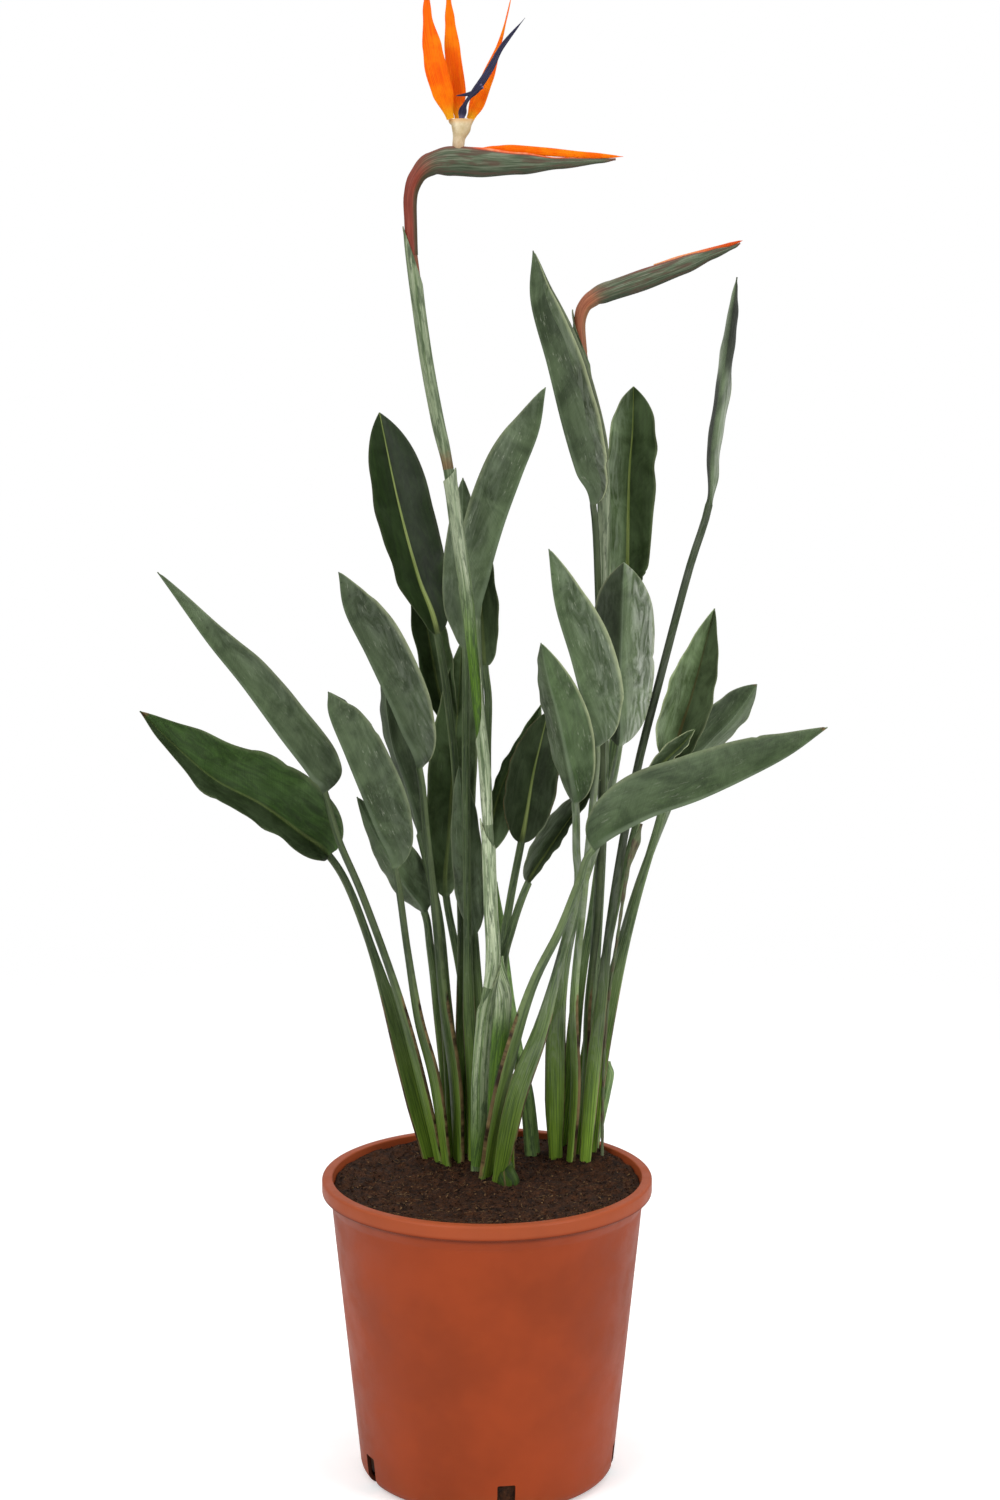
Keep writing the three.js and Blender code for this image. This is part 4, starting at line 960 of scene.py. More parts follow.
def dried_stalk_skin():
    """A withered stalk that ends in a twisted scrap of its blade."""
    route = Route(DRIED_STALK["path"])
    rows = []
    for t, run, spot in route.walk(even(DRIED_ROWS)):
        across, deep = route.value(DRIED_STALK["across"], t), route.value(DRIED_STALK["deep"], t)
        shrink = 0.9 + 0.1 * math.sin(run * 0.35)
        ring = ring_at(spot, oval(across * shrink, deep * 0.8, DRIED_SIDES))
        ring = [point + spot[3] * (0.25 * math.sin(j * 1.9 + run * 0.2)) for j, point in enumerate(ring)]
        rows.append((ring, {"run": run, "turn": [float(j) for j in range(DRIED_SIDES)]}))
    return Skin(rows)


def spathe_skin(node):
    """A round neck that widens into a keeled boat with thin lips and a channel along its top."""
    spathe = SPATHES[node]
    route = Route(spathe["path"])
    bends = [math.radians(lerp(66.0, -246.0, share)) for share in even(SPATHE_SIDES - 1)]
    rows = []
    for t, run, (point, tangent, _, _) in route.walk(even(SPATHE_ROWS)):
        if t == 0:
            point = point - tangent * NECK_MEETS_STEM
        up = unit(np.cross(tangent, BACK))
        tall = route.value(spathe["heights"], t)
        wide = tall * lerp(1, SPATHE_FLATNESS, smooth(t / SPATHE_FLATTENS_BY))
        keel = 0.1 * eased(t, 0.35, 0.2)
        ring, lips, bellies = [], [], []
        for angle in bends:
            x, y = math.cos(angle), math.sin(angle)
            pinch = 1 - keel * smooth(-y) * (1 - abs(x)) * 0.6
            ring.append(point + BACK * (x * wide * pinch) + up * (y * tall))
            lips.append(eased(y, 0.45, 0.45) * spathe["lip"](t))
            bellies.append(smooth(-y))
        for share in even(CHANNEL_PLACES - 1):
            x = lerp(-CHANNEL_HALF_WIDTH, CHANNEL_HALF_WIDTH, share)
            closed = math.radians(lerp(-252.0, -288.0, share))
            depth = 0.78 - 1.15 * (1 - (x / CHANNEL_HALF_WIDTH) ** 2) ** 0.7
            rim = point + BACK * (math.cos(closed) * wide) + up * (math.sin(closed) * tall)
            sunk = point + BACK * (x * wide * 0.8) + up * (depth * tall)
            ring.append(lerp(rim, sunk, route.value(spathe["open"], t)))
            lips.append(spathe["lip"](t))
            bellies.append(0.0)
        rows.append((ring, {
            "run": run, "turn": [j * 0.9 for j in range(len(ring))], "soft": spathe["soft"], "lip": lips,
            "neck": spathe["neck"](t), "belly": bellies, "tip": eased(t, 0.9, 0.1),
        }))
    return Skin(rows)


def petal_skin(node):
    """A pointed petal, folded lengthwise along its keel."""
    petal = PETALS[node]
    route = Route(petal["path"])
    rows = []
    for t, run, spot in route.walk(even(PETAL_ROWS)):
        pointed = 1 - 0.75 * eased(t, 0.94, 0.06)
        slimmed = 1 - petal.get("slim", 0.0) * eased(t, 0.4, 0.3)
        across = route.value(petal["widths"], t) * pointed * slimmed
        fold = petal.get("fold", 0.0) * eased(t, 0.08, 0.2)
        places = oval(across, min(across, petal["deep"]) * 0.8, PETAL_SIDES, fold)
        rows.append((ring_at(spot, places),
            {"run": run, "reach": [x for x, _ in places], "along": t, "dull": petal.get("dull", 0.0)}))
    return Skin(rows)


def arrow_skin():
    """The arrow-shaped blue petal: a thin shaft, two long lobes with a groove, and a barb."""
    skin = Skin()
    for part in ARROW_PARTS:
        route = Route(part["path"])
        rows = []
        for t, run, spot in route.walk(even(part["rows"])):
            width = route.value(part["widths"], t) * ARROW_SLIMMER * (1 - 0.7 * eased(t, 0.93, 0.07))
            width *= 1 + part["foot"] * bell(t - 0.09, 0.1)
            deep = min(width, ARROW_HALF_THICKNESS) * 0.85
            groove = 0.45 * deep * smooth(width / 2.5)
            places = [(x, y - (groove * bell(x / width, 0.3) if y > 0 else 0.0))
                for x, y in oval(width, deep, ARROW_SIDES)]
            rows.append((ring_at(spot, places), {"run": run, "reach": [x for x, _ in places], "along": t}))
        skin.add_rings(rows)
    return skin


def bloom_base_skin():
    """The pale foot of the bloom, ribbed where the petals leave it."""
    route = Route(BLOOM_BASE["path"])
    rows = []
    for t, _, spot in route.walk(even(BLOOM_ROWS)):
        across = route.value(BLOOM_BASE["widths"], t)
        ribs = [1 - 0.05 * smooth(t * 1.5) * (0.5 + 0.5 * math.cos(BLOOM_RIBS * angle))
            for angle in angles(BLOOM_SIDES)]
        places = oval(across, min(across, BLOOM_BASE["deep"]), BLOOM_SIDES)
        rows.append((ring_at(spot, sized(places, ribs)), {"along": t}))
    return Skin(rows)


def bare_stem_skin(node):
    return stem_skin(node, sleeved=False)


def skin_of(node):
    """The skin that a neighbour is cut clear of."""
    if node == "bloom_base":
        return bloom_base_skin()
    makers = ((LEAVES, leaf_skin), (SHOOTS, shoot_skin), (PETALS, petal_skin), (STEMS, bare_stem_skin))
    for table, make in makers:
        if node in table:
            return make(node)
    raise LookupError(f"no skin for {node}")


def make_room(piece, node):
    """Cuts a piece clear of its neighbours by the working gap."""
    tools = []
    for neighbour in CLEAR_OF.get(node, ()):
        roomy = skin_of(neighbour).build(f"room_for_{neighbour}", [])
        normals = [vertex.normal.copy() for vertex in roomy.data.vertices]
        for vertex, normal in zip(roomy.data.vertices, normals):
            vertex.co += normal * (GAP * MM)
        tools.append(roomy)
    if tools:
        cut_away(piece, tools)


def add_piece(node, skin, suffix, finish):
    """Makes a skin into the piece that stands for a CAD node."""
    piece = skin.build(f"{node}_{suffix}", [finish])
    make_room(piece, node)
    dress(piece, node)


def add_pieces(nodes, make, suffix, finish):
    for node in nodes:
        add_piece(node, make(node), suffix, finish)


def soil_height(x, y):
    mound = max(bell(math.hypot(x - cx, y - cy), SOIL_MOUND_SPREAD) for cx, cy in CLUMPS)
    rough = math.sin(x * 0.21 + 1.3) * math.cos(y * 0.17) + 0.6 * math.sin(x * 0.09 - y * 0.26)
    heaped = eased(math.hypot(x, y), SOIL_HEAP_FROM, SOIL_HEAP_SPAN) * lerp(0.35, 1, eased(y, -50, 130))
    return SOIL_LEVEL + SOIL_MOUND * mound + SOIL_ROUGHNESS * rough + SOIL_HEAP * heaped


def soil_edge():
    """The soil's radius at its level."""
    climb = (SOIL_LEVEL - NECK_HEIGHT) / (POT_HEIGHT - NECK_HEIGHT)
    return lerp(NECK_RADIUS - WALL - GAP, RIM_RADIUS - RIM_WIDTH - GAP, climb) - SOIL_SIDE_ROOM


def soil_skin(crumbs, fibres):
    """The filled soil: a crumbly top with lumps, chips of bark and fibres, and plain sides below."""
    chance = random.Random(SOIL_SEED)
    edge = soil_edge()
    corner = CORNER_RADIUS - WALL
    rings = [circle(radius, height, SOIL_SIDES) for radius, height in (
        (FOOT_RADIUS - WALL - corner, FLOOR + GAP), (FOOT_RADIUS - WALL - GAP, FLOOR + corner),
        (NECK_RADIUS - WALL - GAP - SOIL_SIDE_ROOM, NECK_HEIGHT), (edge, SOIL_LEVEL - SOIL_SHOULDER))]
    for k in range(SOIL_ROWS):
        ring = circle(edge * (1 - (k + 0.35) / SOIL_ROWS) ** 0.8 + 0.5, 0.0, SOIL_SIDES)
        for place in ring:
            x, y = float(place[0]), float(place[1])
            coarse = noise.fractal(Vector((x * 0.11, y * 0.11, 0.0)), 0.7, 2.1, 4)
            fine = noise.fractal(Vector((x * 0.42, y * 0.42, 5.0)), 0.6, 2.2, 3)
            place[2] = soil_height(x, y) + (1.5 * coarse + 0.75 * fine) * smooth((k + 1) / 4)
        rings.append(ring)
    skin = Skin([(ring, {"speck": 0.0}) for ring in rings])
    for _ in range(crumbs):
        add_crumb(skin, chance, edge)
    for _ in range(fibres):
        add_fibre(skin, chance, edge)
    return skin


def scatter(chance, reach):
    """A random place within a reach of the pot's middle."""
    radius = reach * math.sqrt(chance.random())
    angle = chance.uniform(0, 2 * math.pi)
    return radius * math.cos(angle), radius * math.sin(angle)


def add_crumb(skin, chance, edge):
    """A lump of soil, or a flat chip of bark."""
    x, y = scatter(chance, edge - CRUMB_EDGE_ROOM)
    chip = chance.random() < CHIP_SHARE
    sizes = [chance.uniform(*span) for span in (CHIP_SPANS if chip else CRUMB_SPANS)]
    turn = chance.uniform(0, math.pi)
    tilt = chance.uniform(-0.5, 0.5)
    corners = []
    for place in CRUMB_SHAPE:
        jig = Vector([value * chance.uniform(0.75, 1.15) for value in place])
        px, py, pz = (value * size * 0.6 for value, size in zip(jig, sizes))
        pz += px * tilt
        corners.append(np.array((x + px * math.cos(turn) - py * math.sin(turn),
            y + px * math.sin(turn) + py * math.cos(turn), soil_height(x, y) + 0.5 + pz + sizes[2] * 0.3)))
    if chip:
        tint = chance.uniform(0.5, 1.0)
    else:
        tint = chance.uniform(0.3, 0.7) if chance.random() < CHIP_SHARE else 0.0
    skin.add(corners, hull_faces(corners), speck=[tint] * len(corners))
    # One draw more for each crumb keeps the places of those after it.
    chance.random()


def hull_faces(corners):
    """The faces of a small lump round its corner points."""
    made = bmesh.new()
    points = [made.verts.new(corner) for corner in corners]
    made.verts.index_update()
    bmesh.ops.convex_hull(made, input=points)
    index = {vert: k for k, vert in enumerate(points) if vert.is_valid}
    faces = [tuple(index[vert] for vert in face.verts) for face in made.faces]
    made.free()
    return faces


def add_fibre(skin, chance, edge):
    """A thin bent root or straw that lies on the soil."""
    x, y = scatter(chance, edge - FIBRE_START_ROOM)
    heading = chance.uniform(0, 2 * math.pi)
    bend = chance.uniform(-0.5, 0.5)
    half = chance.uniform(0.12, 0.3)
    steps = chance.randint(3, 6)
    rings = []
    for k in range(steps + 1):
        width = half * (1 - 0.6 * k / steps)
        sideways = np.array((-math.sin(heading), math.cos(heading), 0.0)) * width
        middle = np.array((x, y, soil_height(x, y) + 1.0 + 0.5 * math.sin(k * 1.3)))
        rings.append([middle + sideways, middle - sideways, middle + np.array((0, 0, width))])
        if math.hypot(x, y) > edge - FIBRE_EDGE_ROOM:
            break
        x += FIBRE_STEP * math.cos(heading)
        y += FIBRE_STEP * math.sin(heading)
        heading += bend
    tint = chance.uniform(0.3, 1.0)
    skin.add_rings([(ring, {"speck": tint}) for ring in rings])


def arc(centre_r, centre_z, radius, start, end, steps):
    """Places along an arc between two angles in degrees."""
    bends = [math.radians(lerp(start, end, share)) for share in even(steps)]
    return [(centre_r + radius * math.cos(angle), centre_z + radius * math.sin(angle)) for angle in bends]


def pot_profile():
    """The pot's section, from its underside round the rim to its floor."""
    corner = CORNER_RADIUS - WALL
    return [
        (FLAT_MIDDLE, 0.0),
        *arc(FOOT_RADIUS - CORNER_RADIUS, CORNER_RADIUS, CORNER_RADIUS, -90, 0, 12),
        *[(lerp(FOOT_RADIUS, NECK_RADIUS, share), lerp(CORNER_RADIUS, NECK_HEIGHT, share))
            for share in even(8)[1:-1]],
        (NECK_RADIUS - 0.35, NECK_HEIGHT - 2.6), (NECK_RADIUS + 0.1, NECK_HEIGHT - 0.6),
        (NECK_RADIUS + 1.0, NECK_HEIGHT + 0.7), (RIM_RADIUS - 5.2, BAND_FOOT - 4.0),
        (RIM_RADIUS - 3.6, BAND_FOOT - 1.6), (RIM_RADIUS - 2.8, BAND_FOOT - 1.1),
        (RIM_RADIUS - 0.9, BAND_FOOT - 0.9), (RIM_RADIUS - 0.2, BAND_FOOT - 0.5),
        (RIM_RADIUS, BAND_FOOT + 0.6),
        *arc(RIM_RADIUS - RIM_ROUNDING, POT_HEIGHT - RIM_ROUNDING, RIM_ROUNDING, 0, 90, 8),
        *arc(RIM_RADIUS - RIM_WIDTH + RIM_INNER_ROUNDING, POT_HEIGHT - RIM_INNER_ROUNDING, RIM_INNER_ROUNDING,
            90, 180, 5),
        (NECK_RADIUS - WALL, NECK_HEIGHT),
        *arc(FOOT_RADIUS - WALL - corner, FLOOR + corner, corner, 0, -90, 8),
        (FLAT_MIDDLE, FLOOR),
    ]


def pot_skin():
    """The pot's wall, rim and floor, turned round its middle."""
    return Skin([(circle(radius, height, POT_SIDES), {}) for radius, height in pot_profile()])


def cut_slots(pot):
    """Cuts the drain slots through the foot of the wall, with slightly rounded corners."""
    half, shoulder = SLOT_WIDTH / 2, SLOT_TOP - SLOT_CORNER
    outline = [(-half, -SLOT_TOP), (half, -SLOT_TOP),
        *arc(half - SLOT_CORNER, shoulder, SLOT_CORNER, 0, 90, 3),
        *arc(SLOT_CORNER - half, shoulder, SLOT_CORNER, 90, 180, 3)]
    slots = Skin()
    for k in range(SLOT_COUNT):
        turn = math.radians(FIRST_SLOT_ANGLE + 360 / SLOT_COUNT * k)
        side, out = (math.cos(turn), math.sin(turn)), (-math.sin(turn), math.cos(turn))
        slots.add_rings([([(x * side[0] + y * out[0], x * side[1] + y * out[1], z) for x, z in outline], {})
            for y in (-SLOT_INNER_RADIUS, -RIM_RADIUS)])
    tool = slots.build("slot_cutter", [slot.material for slot in pot.material_slots])
    # The cut faces take the second finish, which paints shade inside the slots.
    for face in tool.data.polygons:
        face.material_index = 1
    cut_away(pot, [tool], POT_EDGE)


class Wire:
    """A node's output; sums, differences and products of wires make nodes."""

    def __init__(self, graph, socket):
        self.graph, self.socket = graph, socket

    def __add__(self, other):
        return self.graph.math("ADD", self, other)

    def __sub__(self, other):
        return self.graph.math("SUBTRACT", self, other)

    def __mul__(self, other):
        return self.graph.math("MULTIPLY", self, other)

    def __abs__(self):
        return self.graph.math("ABSOLUTE", self)


class Graph:
    """A node tree, made by short calls that return wires."""

    def __init__(self, tree):
        self.tree = tree

    def put(self, socket, value):
        """Links a wire to a socket, or sets the socket's own value; a colour may be written as hex."""
        if isinstance(value, Wire):
            self.tree.links.new(value.socket, socket)
            return
        if isinstance(value, str):
            value = colour(value)
        socket.default_value = (*value, 1.0) if socket.type == "RGBA" else value

    def node(self, kind, output=0, inputs=(), **settings):
        made = self.tree.nodes.new(kind)
        for key, value in settings.items():
            setattr(made, key, value)
        for key, value in dict(inputs).items():
            self.put(made.inputs[key], value)
        return Wire(self, made.outputs[output])

    def value(self, name):
        return self.node("ShaderNodeAttribute", "Fac", attribute_name=name)

    def place(self):
        return self.node("ShaderNodeTexCoord", "Object")

    def rise(self, vector):
        """How far up a vector points."""
        return self.node("ShaderNodeSeparateXYZ", "Z", {0: vector})

    def seen(self):
        return self.node("ShaderNodeLightPath", "Is Camera Ray")

    def combine(self, x, y, z=0.0):
        return self.node("ShaderNodeCombineXYZ", 0, {0: x, 1: y, 2: z})

    def math(self, operation, a, b=0.0, clamp=False):
        return self.node("ShaderNodeMath", 0, {0: a, 1: b}, operation=operation, use_clamp=clamp)

    def times(self, a, b):
        """A product held between 0 and 1."""
        return self.math("MULTIPLY", a, b, True)

    def stretch(self, vector, x, y, z):
        return self.node("ShaderNodeVectorMath", 0, {0: vector, 1: (x, y, z)}, operation="MULTIPLY")

    def noise(self, vector, scale, detail=3.0, roughness=0.55, distortion=0.0):
        return self.node("ShaderNodeTexNoise", "Fac", {"Vector": vector, "Scale": scale, "Detail": detail,
            "Roughness": roughness, "Distortion": distortion})

    def cells(self, vector, scale):
        return self.node("ShaderNodeTexVoronoi", "Distance", {"Vector": vector, "Scale": scale})

    def step(self, value, low, high, to_low=0.0, to_high=1.0, ease="SMOOTHSTEP"):
        return self.node("ShaderNodeMapRange", "Result", {"Value": value, "From Min": low, "From Max": high,
            "To Min": to_low, "To Max": to_high}, interpolation_type=ease)

    def mix(self, factor, a, b, blend="MIX"):
        return self.node("ShaderNodeMix", 2, {0: factor, 6: a, 7: b}, data_type="RGBA", blend_type=blend)

    def coated(self, base, *coats):
        """A base under coats, each with how much of it shows and its colour."""
        for share, coat in coats:
            base = self.mix(share, base, coat)
        return base

    def shaded(self, colours, grey):
        """A colour times a grey."""
        return self.mix(1.0, colours, self.combine(grey, grey, grey), "MULTIPLY")


class Finish(Graph):
    """A material; its pieces may carry a run and a way across that their fibres follow."""

    def __init__(self, name, across=None):
        self.material = bpy.data.materials.new(name)
        self.material.use_nodes = True
        super().__init__(self.material.node_tree)
        self.shader = self.tree.nodes["Principled BSDF"]
        if across:
            self.run, self.across = self.value("run"), self.value(across)

    def fibres(self, along, across, layer=0.0, detail=4.0, roughness=0.6, distortion=0.0):
        """Noise drawn out along the piece; each layer has a pattern of its own."""
        return self.noise(self.combine(self.run * along, self.across * across, layer), 1.0, detail, roughness,
            distortion)

    def done(self, base, roughness, height, strength, distance, **others):
        """Sets the shader with its relief's height, strength and distance, and returns the material."""
        normal = self.node("ShaderNodeBump", "Normal",
            {"Height": height, "Strength": strength, "Distance": distance})
        for key, value in {"Base_Color": base, "Roughness": roughness, "Normal": normal, **others}.items():
            self.put(self.shader.inputs[key.replace("_", " ")], value)
        return self.material


def colour(hex_code):
    """A colour written as sRGB hex, as the linear values that shaders take."""
    parts = [int(hex_code[i:i + 2], 16) / 255 for i in (0, 2, 4)]
    return tuple(c / 12.92 if c <= 0.04045 else ((c + 0.055) / 1.055) ** 2.4 for c in parts)


def leaf_finish(plant):
    """Upper face and underside, slanting veins, midrib, wax and painted sheen, specks, stalk, sheath and dry
    margins.
    """
    f = Finish("leaf", "reach")
    upper, blade, fresh = f.value("upper"), f.value("blade"), f.value("fresh")
    along_leaf = f.combine(f.run, f.across)
    patches = f.noise(along_leaf, 0.028, 4.0, 0.6, 0.6)
    grain = f.noise(f.place(), 260.0)
    slant = f.run - abs(f.across) * 0.9
    vein = f.noise(f.combine(slant * 0.95, f.across * 0.012), 1.0, 3.0, 0.7)
    streaks = f.fibres(0.025, 0.12, 4.0, 6.0, 0.7, 1.2)
    dashes = f.fibres(0.09, 0.6, 9.0, 4.0, 0.7, 0.3)
    lines = f.fibres(0.02, 1.1, 3.0, 3.0)
    face_green = f.mix(f.step(patches, 0.35, 0.68), plant.leaf_face, plant.leaf_face_light)
    back_green = f.mix(f.step(patches, 0.35, 0.66), plant.leaf_back, plant.leaf_back_light)
    vivid = f.mix(f.step(streaks, 0.3, 0.7), "2a4a15", "44701e")
    green = f.mix(fresh, f.mix(upper, back_green, face_green), vivid)
    green = f.shaded(green, f.step(vein, 0.36, 0.66, 0.92, 1.09) * f.step(streaks, 0.3, 0.7, 0.88, 1.13))
    lively = f.mix(f.step(lines, 0.25, 0.75), "2f4a12", "728f2c")
    # Painted highlight: the stalk's sides are paler, as lit edges.
    painted_edge_light = f.step(f.value("size") + lines * 0.3, 0.75, 1.1)
    stalk = f.coated(f.mix(f.step(lines, 0.3, 0.7), "33442a", "5f7248"),
        (f.step(dashes, 0.5, 0.75, 0.0, 0.5), "7d8b68"), (f.times(fresh, 0.95), lively),
        (painted_edge_light * 0.18, "98a76f"))
    # Pale wax, partly real bloom and partly painted sheen.
    wax_and_sheen = f.times(f.value("bloom"), f.step(streaks, 0.36, 0.66))
    thinned = f.step(f.noise(along_leaf, 0.05), 0.42, 0.66)
    fleck = f.step(dashes, 0.56, 0.7) * thinned * f.value("fleck")
    pits = f.step(f.cells(along_leaf, 0.16), 0.2, 0.08) * f.step(dashes, 0.5, 0.62)
    green = f.coated(f.mix(blade, stalk, green), (wax_and_sheen * 0.7, "989b94"), (fleck * 0.6, "aeb49f"),
        (pits * blade * 0.55, "1d2414"), (f.value("rim") * f.step(dashes, 0.3, 0.5, 0.4, 0.9), "a9b189"))
    # The tone holds each leaf's brightness with the painted light and shade of either half.
    green = f.shaded(green, f.value("tone"))
    rib = f.times(f.step(f.value("from_rib"), 1.35, 0.45), f.value("ribpale"))
    rib_upper = f.mix(f.value("ribred"), f.mix(f.step(lines, 0.3, 0.7), "869a4e", "b5c27c"), "5a3522")
    ragged = f.value("dry") + f.noise(f.place(), 190.0, 4.0) * 0.5
    brown = f.mix(f.step(lines, 0.35, 0.65), "2a1e12", "7d6a45")
    green = f.coated(green,
        (rib * blade, f.mix(upper, "7f8f74", rib_upper)), (f.step(ragged, 0.72, 0.98), brown))
    return f.done(green, f.step(grain + wax_and_sheen, 0.3, 1.2, plant.leaf_roughness, 0.66),
        vein * blade + lines * 0.4 + grain * 0.25, 0.55, plant.vein_depth, Specular_IOR_Level=0.22)


def stem_finish():
    """Stems, sleeves and shoots: long fibres, pale waxy sheaths, brown joints and dry lips."""
    f = Finish("stem", "turn")
    fibres = f.fibres(0.02, 1.5)
    blotch = f.fibres(0.05, 0.25, 3.0, 4.0, 0.65)
    bands = f.fibres(0.011, 0.3, 7.0, 3.0)
    patchy = f.times(f.value("pale"), f.step(bands, 0.34, 0.56, 0.25, 1.15))
    dark_streaks = f.step(blotch, 0.46, 0.62) * f.step(fibres, 0.36, 0.58)
    green = f.coated(f.mix(f.step(fibres, 0.3, 0.7), "34472a", "5b6f45"),
        (f.value("fresh"), f.mix(f.step(fibres, 0.3, 0.7), "28480b", "648829")),
        (patchy, f.mix(f.step(fibres, 0.35, 0.68), "7d8d6c", "c2caac")), (dark_streaks * 0.85, "2f4128"),
        (f.value("red") * 0.85, f.mix(f.step(fibres, 0.3, 0.7), "65301f", "9c543a")))
    green = f.shaded(green, f.value("tone"))
    ragged = f.value("dry") + f.noise(f.place(), 170.0, 4.0) * 0.45
    green = f.mix(f.step(ragged, 0.62, 0.98), green, f.mix(f.step(fibres, 0.35, 0.65), "382817", "86704c"))
    relief = fibres * 0.8 + f.noise(f.place(), 320.0) * 0.3
    return f.done(green, f.step(blotch, 0.3, 0.7, 0.45, 0.62), relief, 0.6, 0.0006, Specular_IOR_Level=0.3)


def dry_finish():
    """Withered, papery stalk."""
    f = Finish("dry_stalk", "turn")
    fibres = f.fibres(0.05, 0.8)
    brown = f.mix(f.step(fibres, 0.3, 0.7), "352b1e", "80775a")
    brown = f.mix(f.step(f.noise(f.place(), 60.0), 0.38, 0.56), brown, "667250")
    return f.done(brown, f.step(fibres, 0.3, 0.7, 0.65, 0.85), fibres, 0.8, 0.0008)


def spathe_finish(plant):
    """Grey-green boat with a waxy bloom, red-orange lips, a reddish neck and a darker keel."""
    f = Finish("spathe", "turn")
    belly, lip, soft = f.value("belly"), f.value("lip"), f.value("soft")
    lines = f.fibres(0.035, 1.1)
    smears = f.fibres(0.04, 0.35, 6.0)
    cloud = f.noise(f.place(), 55.0, 4.0, 0.6)
    waxy = f.step(lines, 0.48, 0.72) * f.step(belly, 0.7, 0.1)
    patchy = f.noise(f.combine(f.run * 0.09, 0.0), 1.0, 3.0, 0.6)
    lips = f.coated(f.mix(f.step(patchy, 0.4, 0.65), plant.spathe_lip, "e0875a"), (soft * 0.45, "d79a78"))
    lips = f.mix(f.step(lip, 0.62, 0.9), "80332a", lips)
    neck = f.coated(f.mix(f.step(lines, 0.3, 0.72), "6e2a1c", "964430"), (f.step(belly, 0.1, 0.8), "4c3a20"),
        (soft * f.step(lines, 0.3, 0.6, 0.2, 0.6), "c07f58"))
    ragged_neck = f.value("neck") - belly * 0.12 + (lines - 0.5) * 0.35
    green = f.coated(f.mix(f.step(lines, 0.3, 0.7), "3c4834", "68745a"), (belly * 0.75, "2b3624"),
        (waxy * 0.4, "a2a394"), (f.step(smears, 0.46, 0.64) * 0.8, "584236"),
        (f.step(lip + (lines - 0.5) * 0.4, 0.35, 0.75), lips), (f.step(ragged_neck, 0.1, 0.8), neck),
        (f.value("tip") * 0.7, "7c3222"))
    return f.done(green, f.step(cloud, 0.3, 0.7, 0.42, 0.6), lines + cloud * 0.5, 0.5, 0.0006,
        Specular_IOR_Level=0.3)


def petal_finish(plant):
    """Orange petals: fine lengthwise lines, lighter orange patches and a yellow foot; a dull petal fades from
    pinkish at its foot to red.
    """
    f = Finish("orange_petal", "reach")
    along = f.value("along")
    lines = f.fibres(0.02, 1.3)
    dull = f.mix(f.step(along, 0.2, 0.75), "d49a72", "b83f1c")
    orange = f.coated(f.mix(f.step(lines, 0.32, 0.68), plant.sepal_deep, plant.sepal_orange),
        (f.step(f.noise(f.place(), 70.0), 0.4, 0.7) * 0.7, "ff8c06"), (f.step(along, 0.14, 0.0), "eda018"),
        (f.times(f.value("dull"), f.step(lines, 0.3, 0.6, 0.8, 1.0)), dull))
    return f.done(orange, f.step(lines, 0.3, 0.7, 0.38, 0.55), lines, 0.6, 0.0007, Specular_IOR_Level=0.08,
        Subsurface_Weight=0.1, Subsurface_Scale=0.004, Subsurface_Radius=(1.0, 0.35, 0.1))


def arrow_finish(plant):
    """The blue petal: satin, with lighter lengthwise lines, and paler at its foot."""
    f = Finish("blue_petal", "reach")
    lines = f.fibres(0.03, 1.4, 0.0, 3.0, 0.55)
    blue = f.mix(f.step(lines, 0.35, 0.75), plant.arrow_blue, "34345a")
    blue = f.mix(f.step(f.value("along"), 0.1, 0.0), blue, "6d6688")
    return f.done(blue, f.step(lines, 0.3, 0.7, 0.4, 0.55), lines, 0.5, 0.0005, Specular_IOR_Level=0.3)


def bloom_base_finish():
    """Cream foot of the bloom, flushed reddish brown towards its foot and orange towards its top."""
    f = Finish("bloom_base")
    cloud = f.noise(f.place(), 90.0, 4.0)
    along = f.value("along")
    cream = f.coated(f.mix(f.step(cloud, 0.35, 0.7), "c4ad80", "ead9b4"),
        (f.step(along, 0.55, 0.0) * 0.6, "9a5a34"), (f.step(along, 0.7, 1.0) * 0.6, "e09a3a"))
    return f.done(cream, f.step(cloud, 0.3, 0.7, 0.4, 0.55), cloud, 0.4, 0.0006)


def soil_finish(plant):
    """Damp peat with crumbs, pale specks and straws."""
    f = Finish("peat")
    place = f.place()
    coarse = f.noise(place, 120.0, 5.0, 0.7)
    fine = f.noise(place, 520.0, 4.0, 0.7)
    hairs = f.noise(f.stretch(place, 180.0, 900.0, 400.0), 1.0, 3.0, 0.6, 1.5)
    brown = f.coated(f.mix(f.step(coarse, 0.35, 0.68), plant.soil_dark, plant.soil_light),
        (f.step(fine, 0.5, 0.75) * 0.6, "6b4a33"), (f.step(hairs, 0.62, 0.72) * 0.5, "74492c"))
    brown = f.shaded(brown, f.step(f.cells(place, 420.0), 0.1, 0.45, 0.45, 1.0))
    brown = f.mix(f.value("speck"), brown, f.mix(f.step(fine, 0.35, 0.7), "5e432a", "957650"))
    return f.done(brown, f.step(coarse, 0.3, 0.7, 0.82, 0.97), coarse + fine * 0.6, 0.9, 0.0016,
        Specular_IOR_Level=0.2)


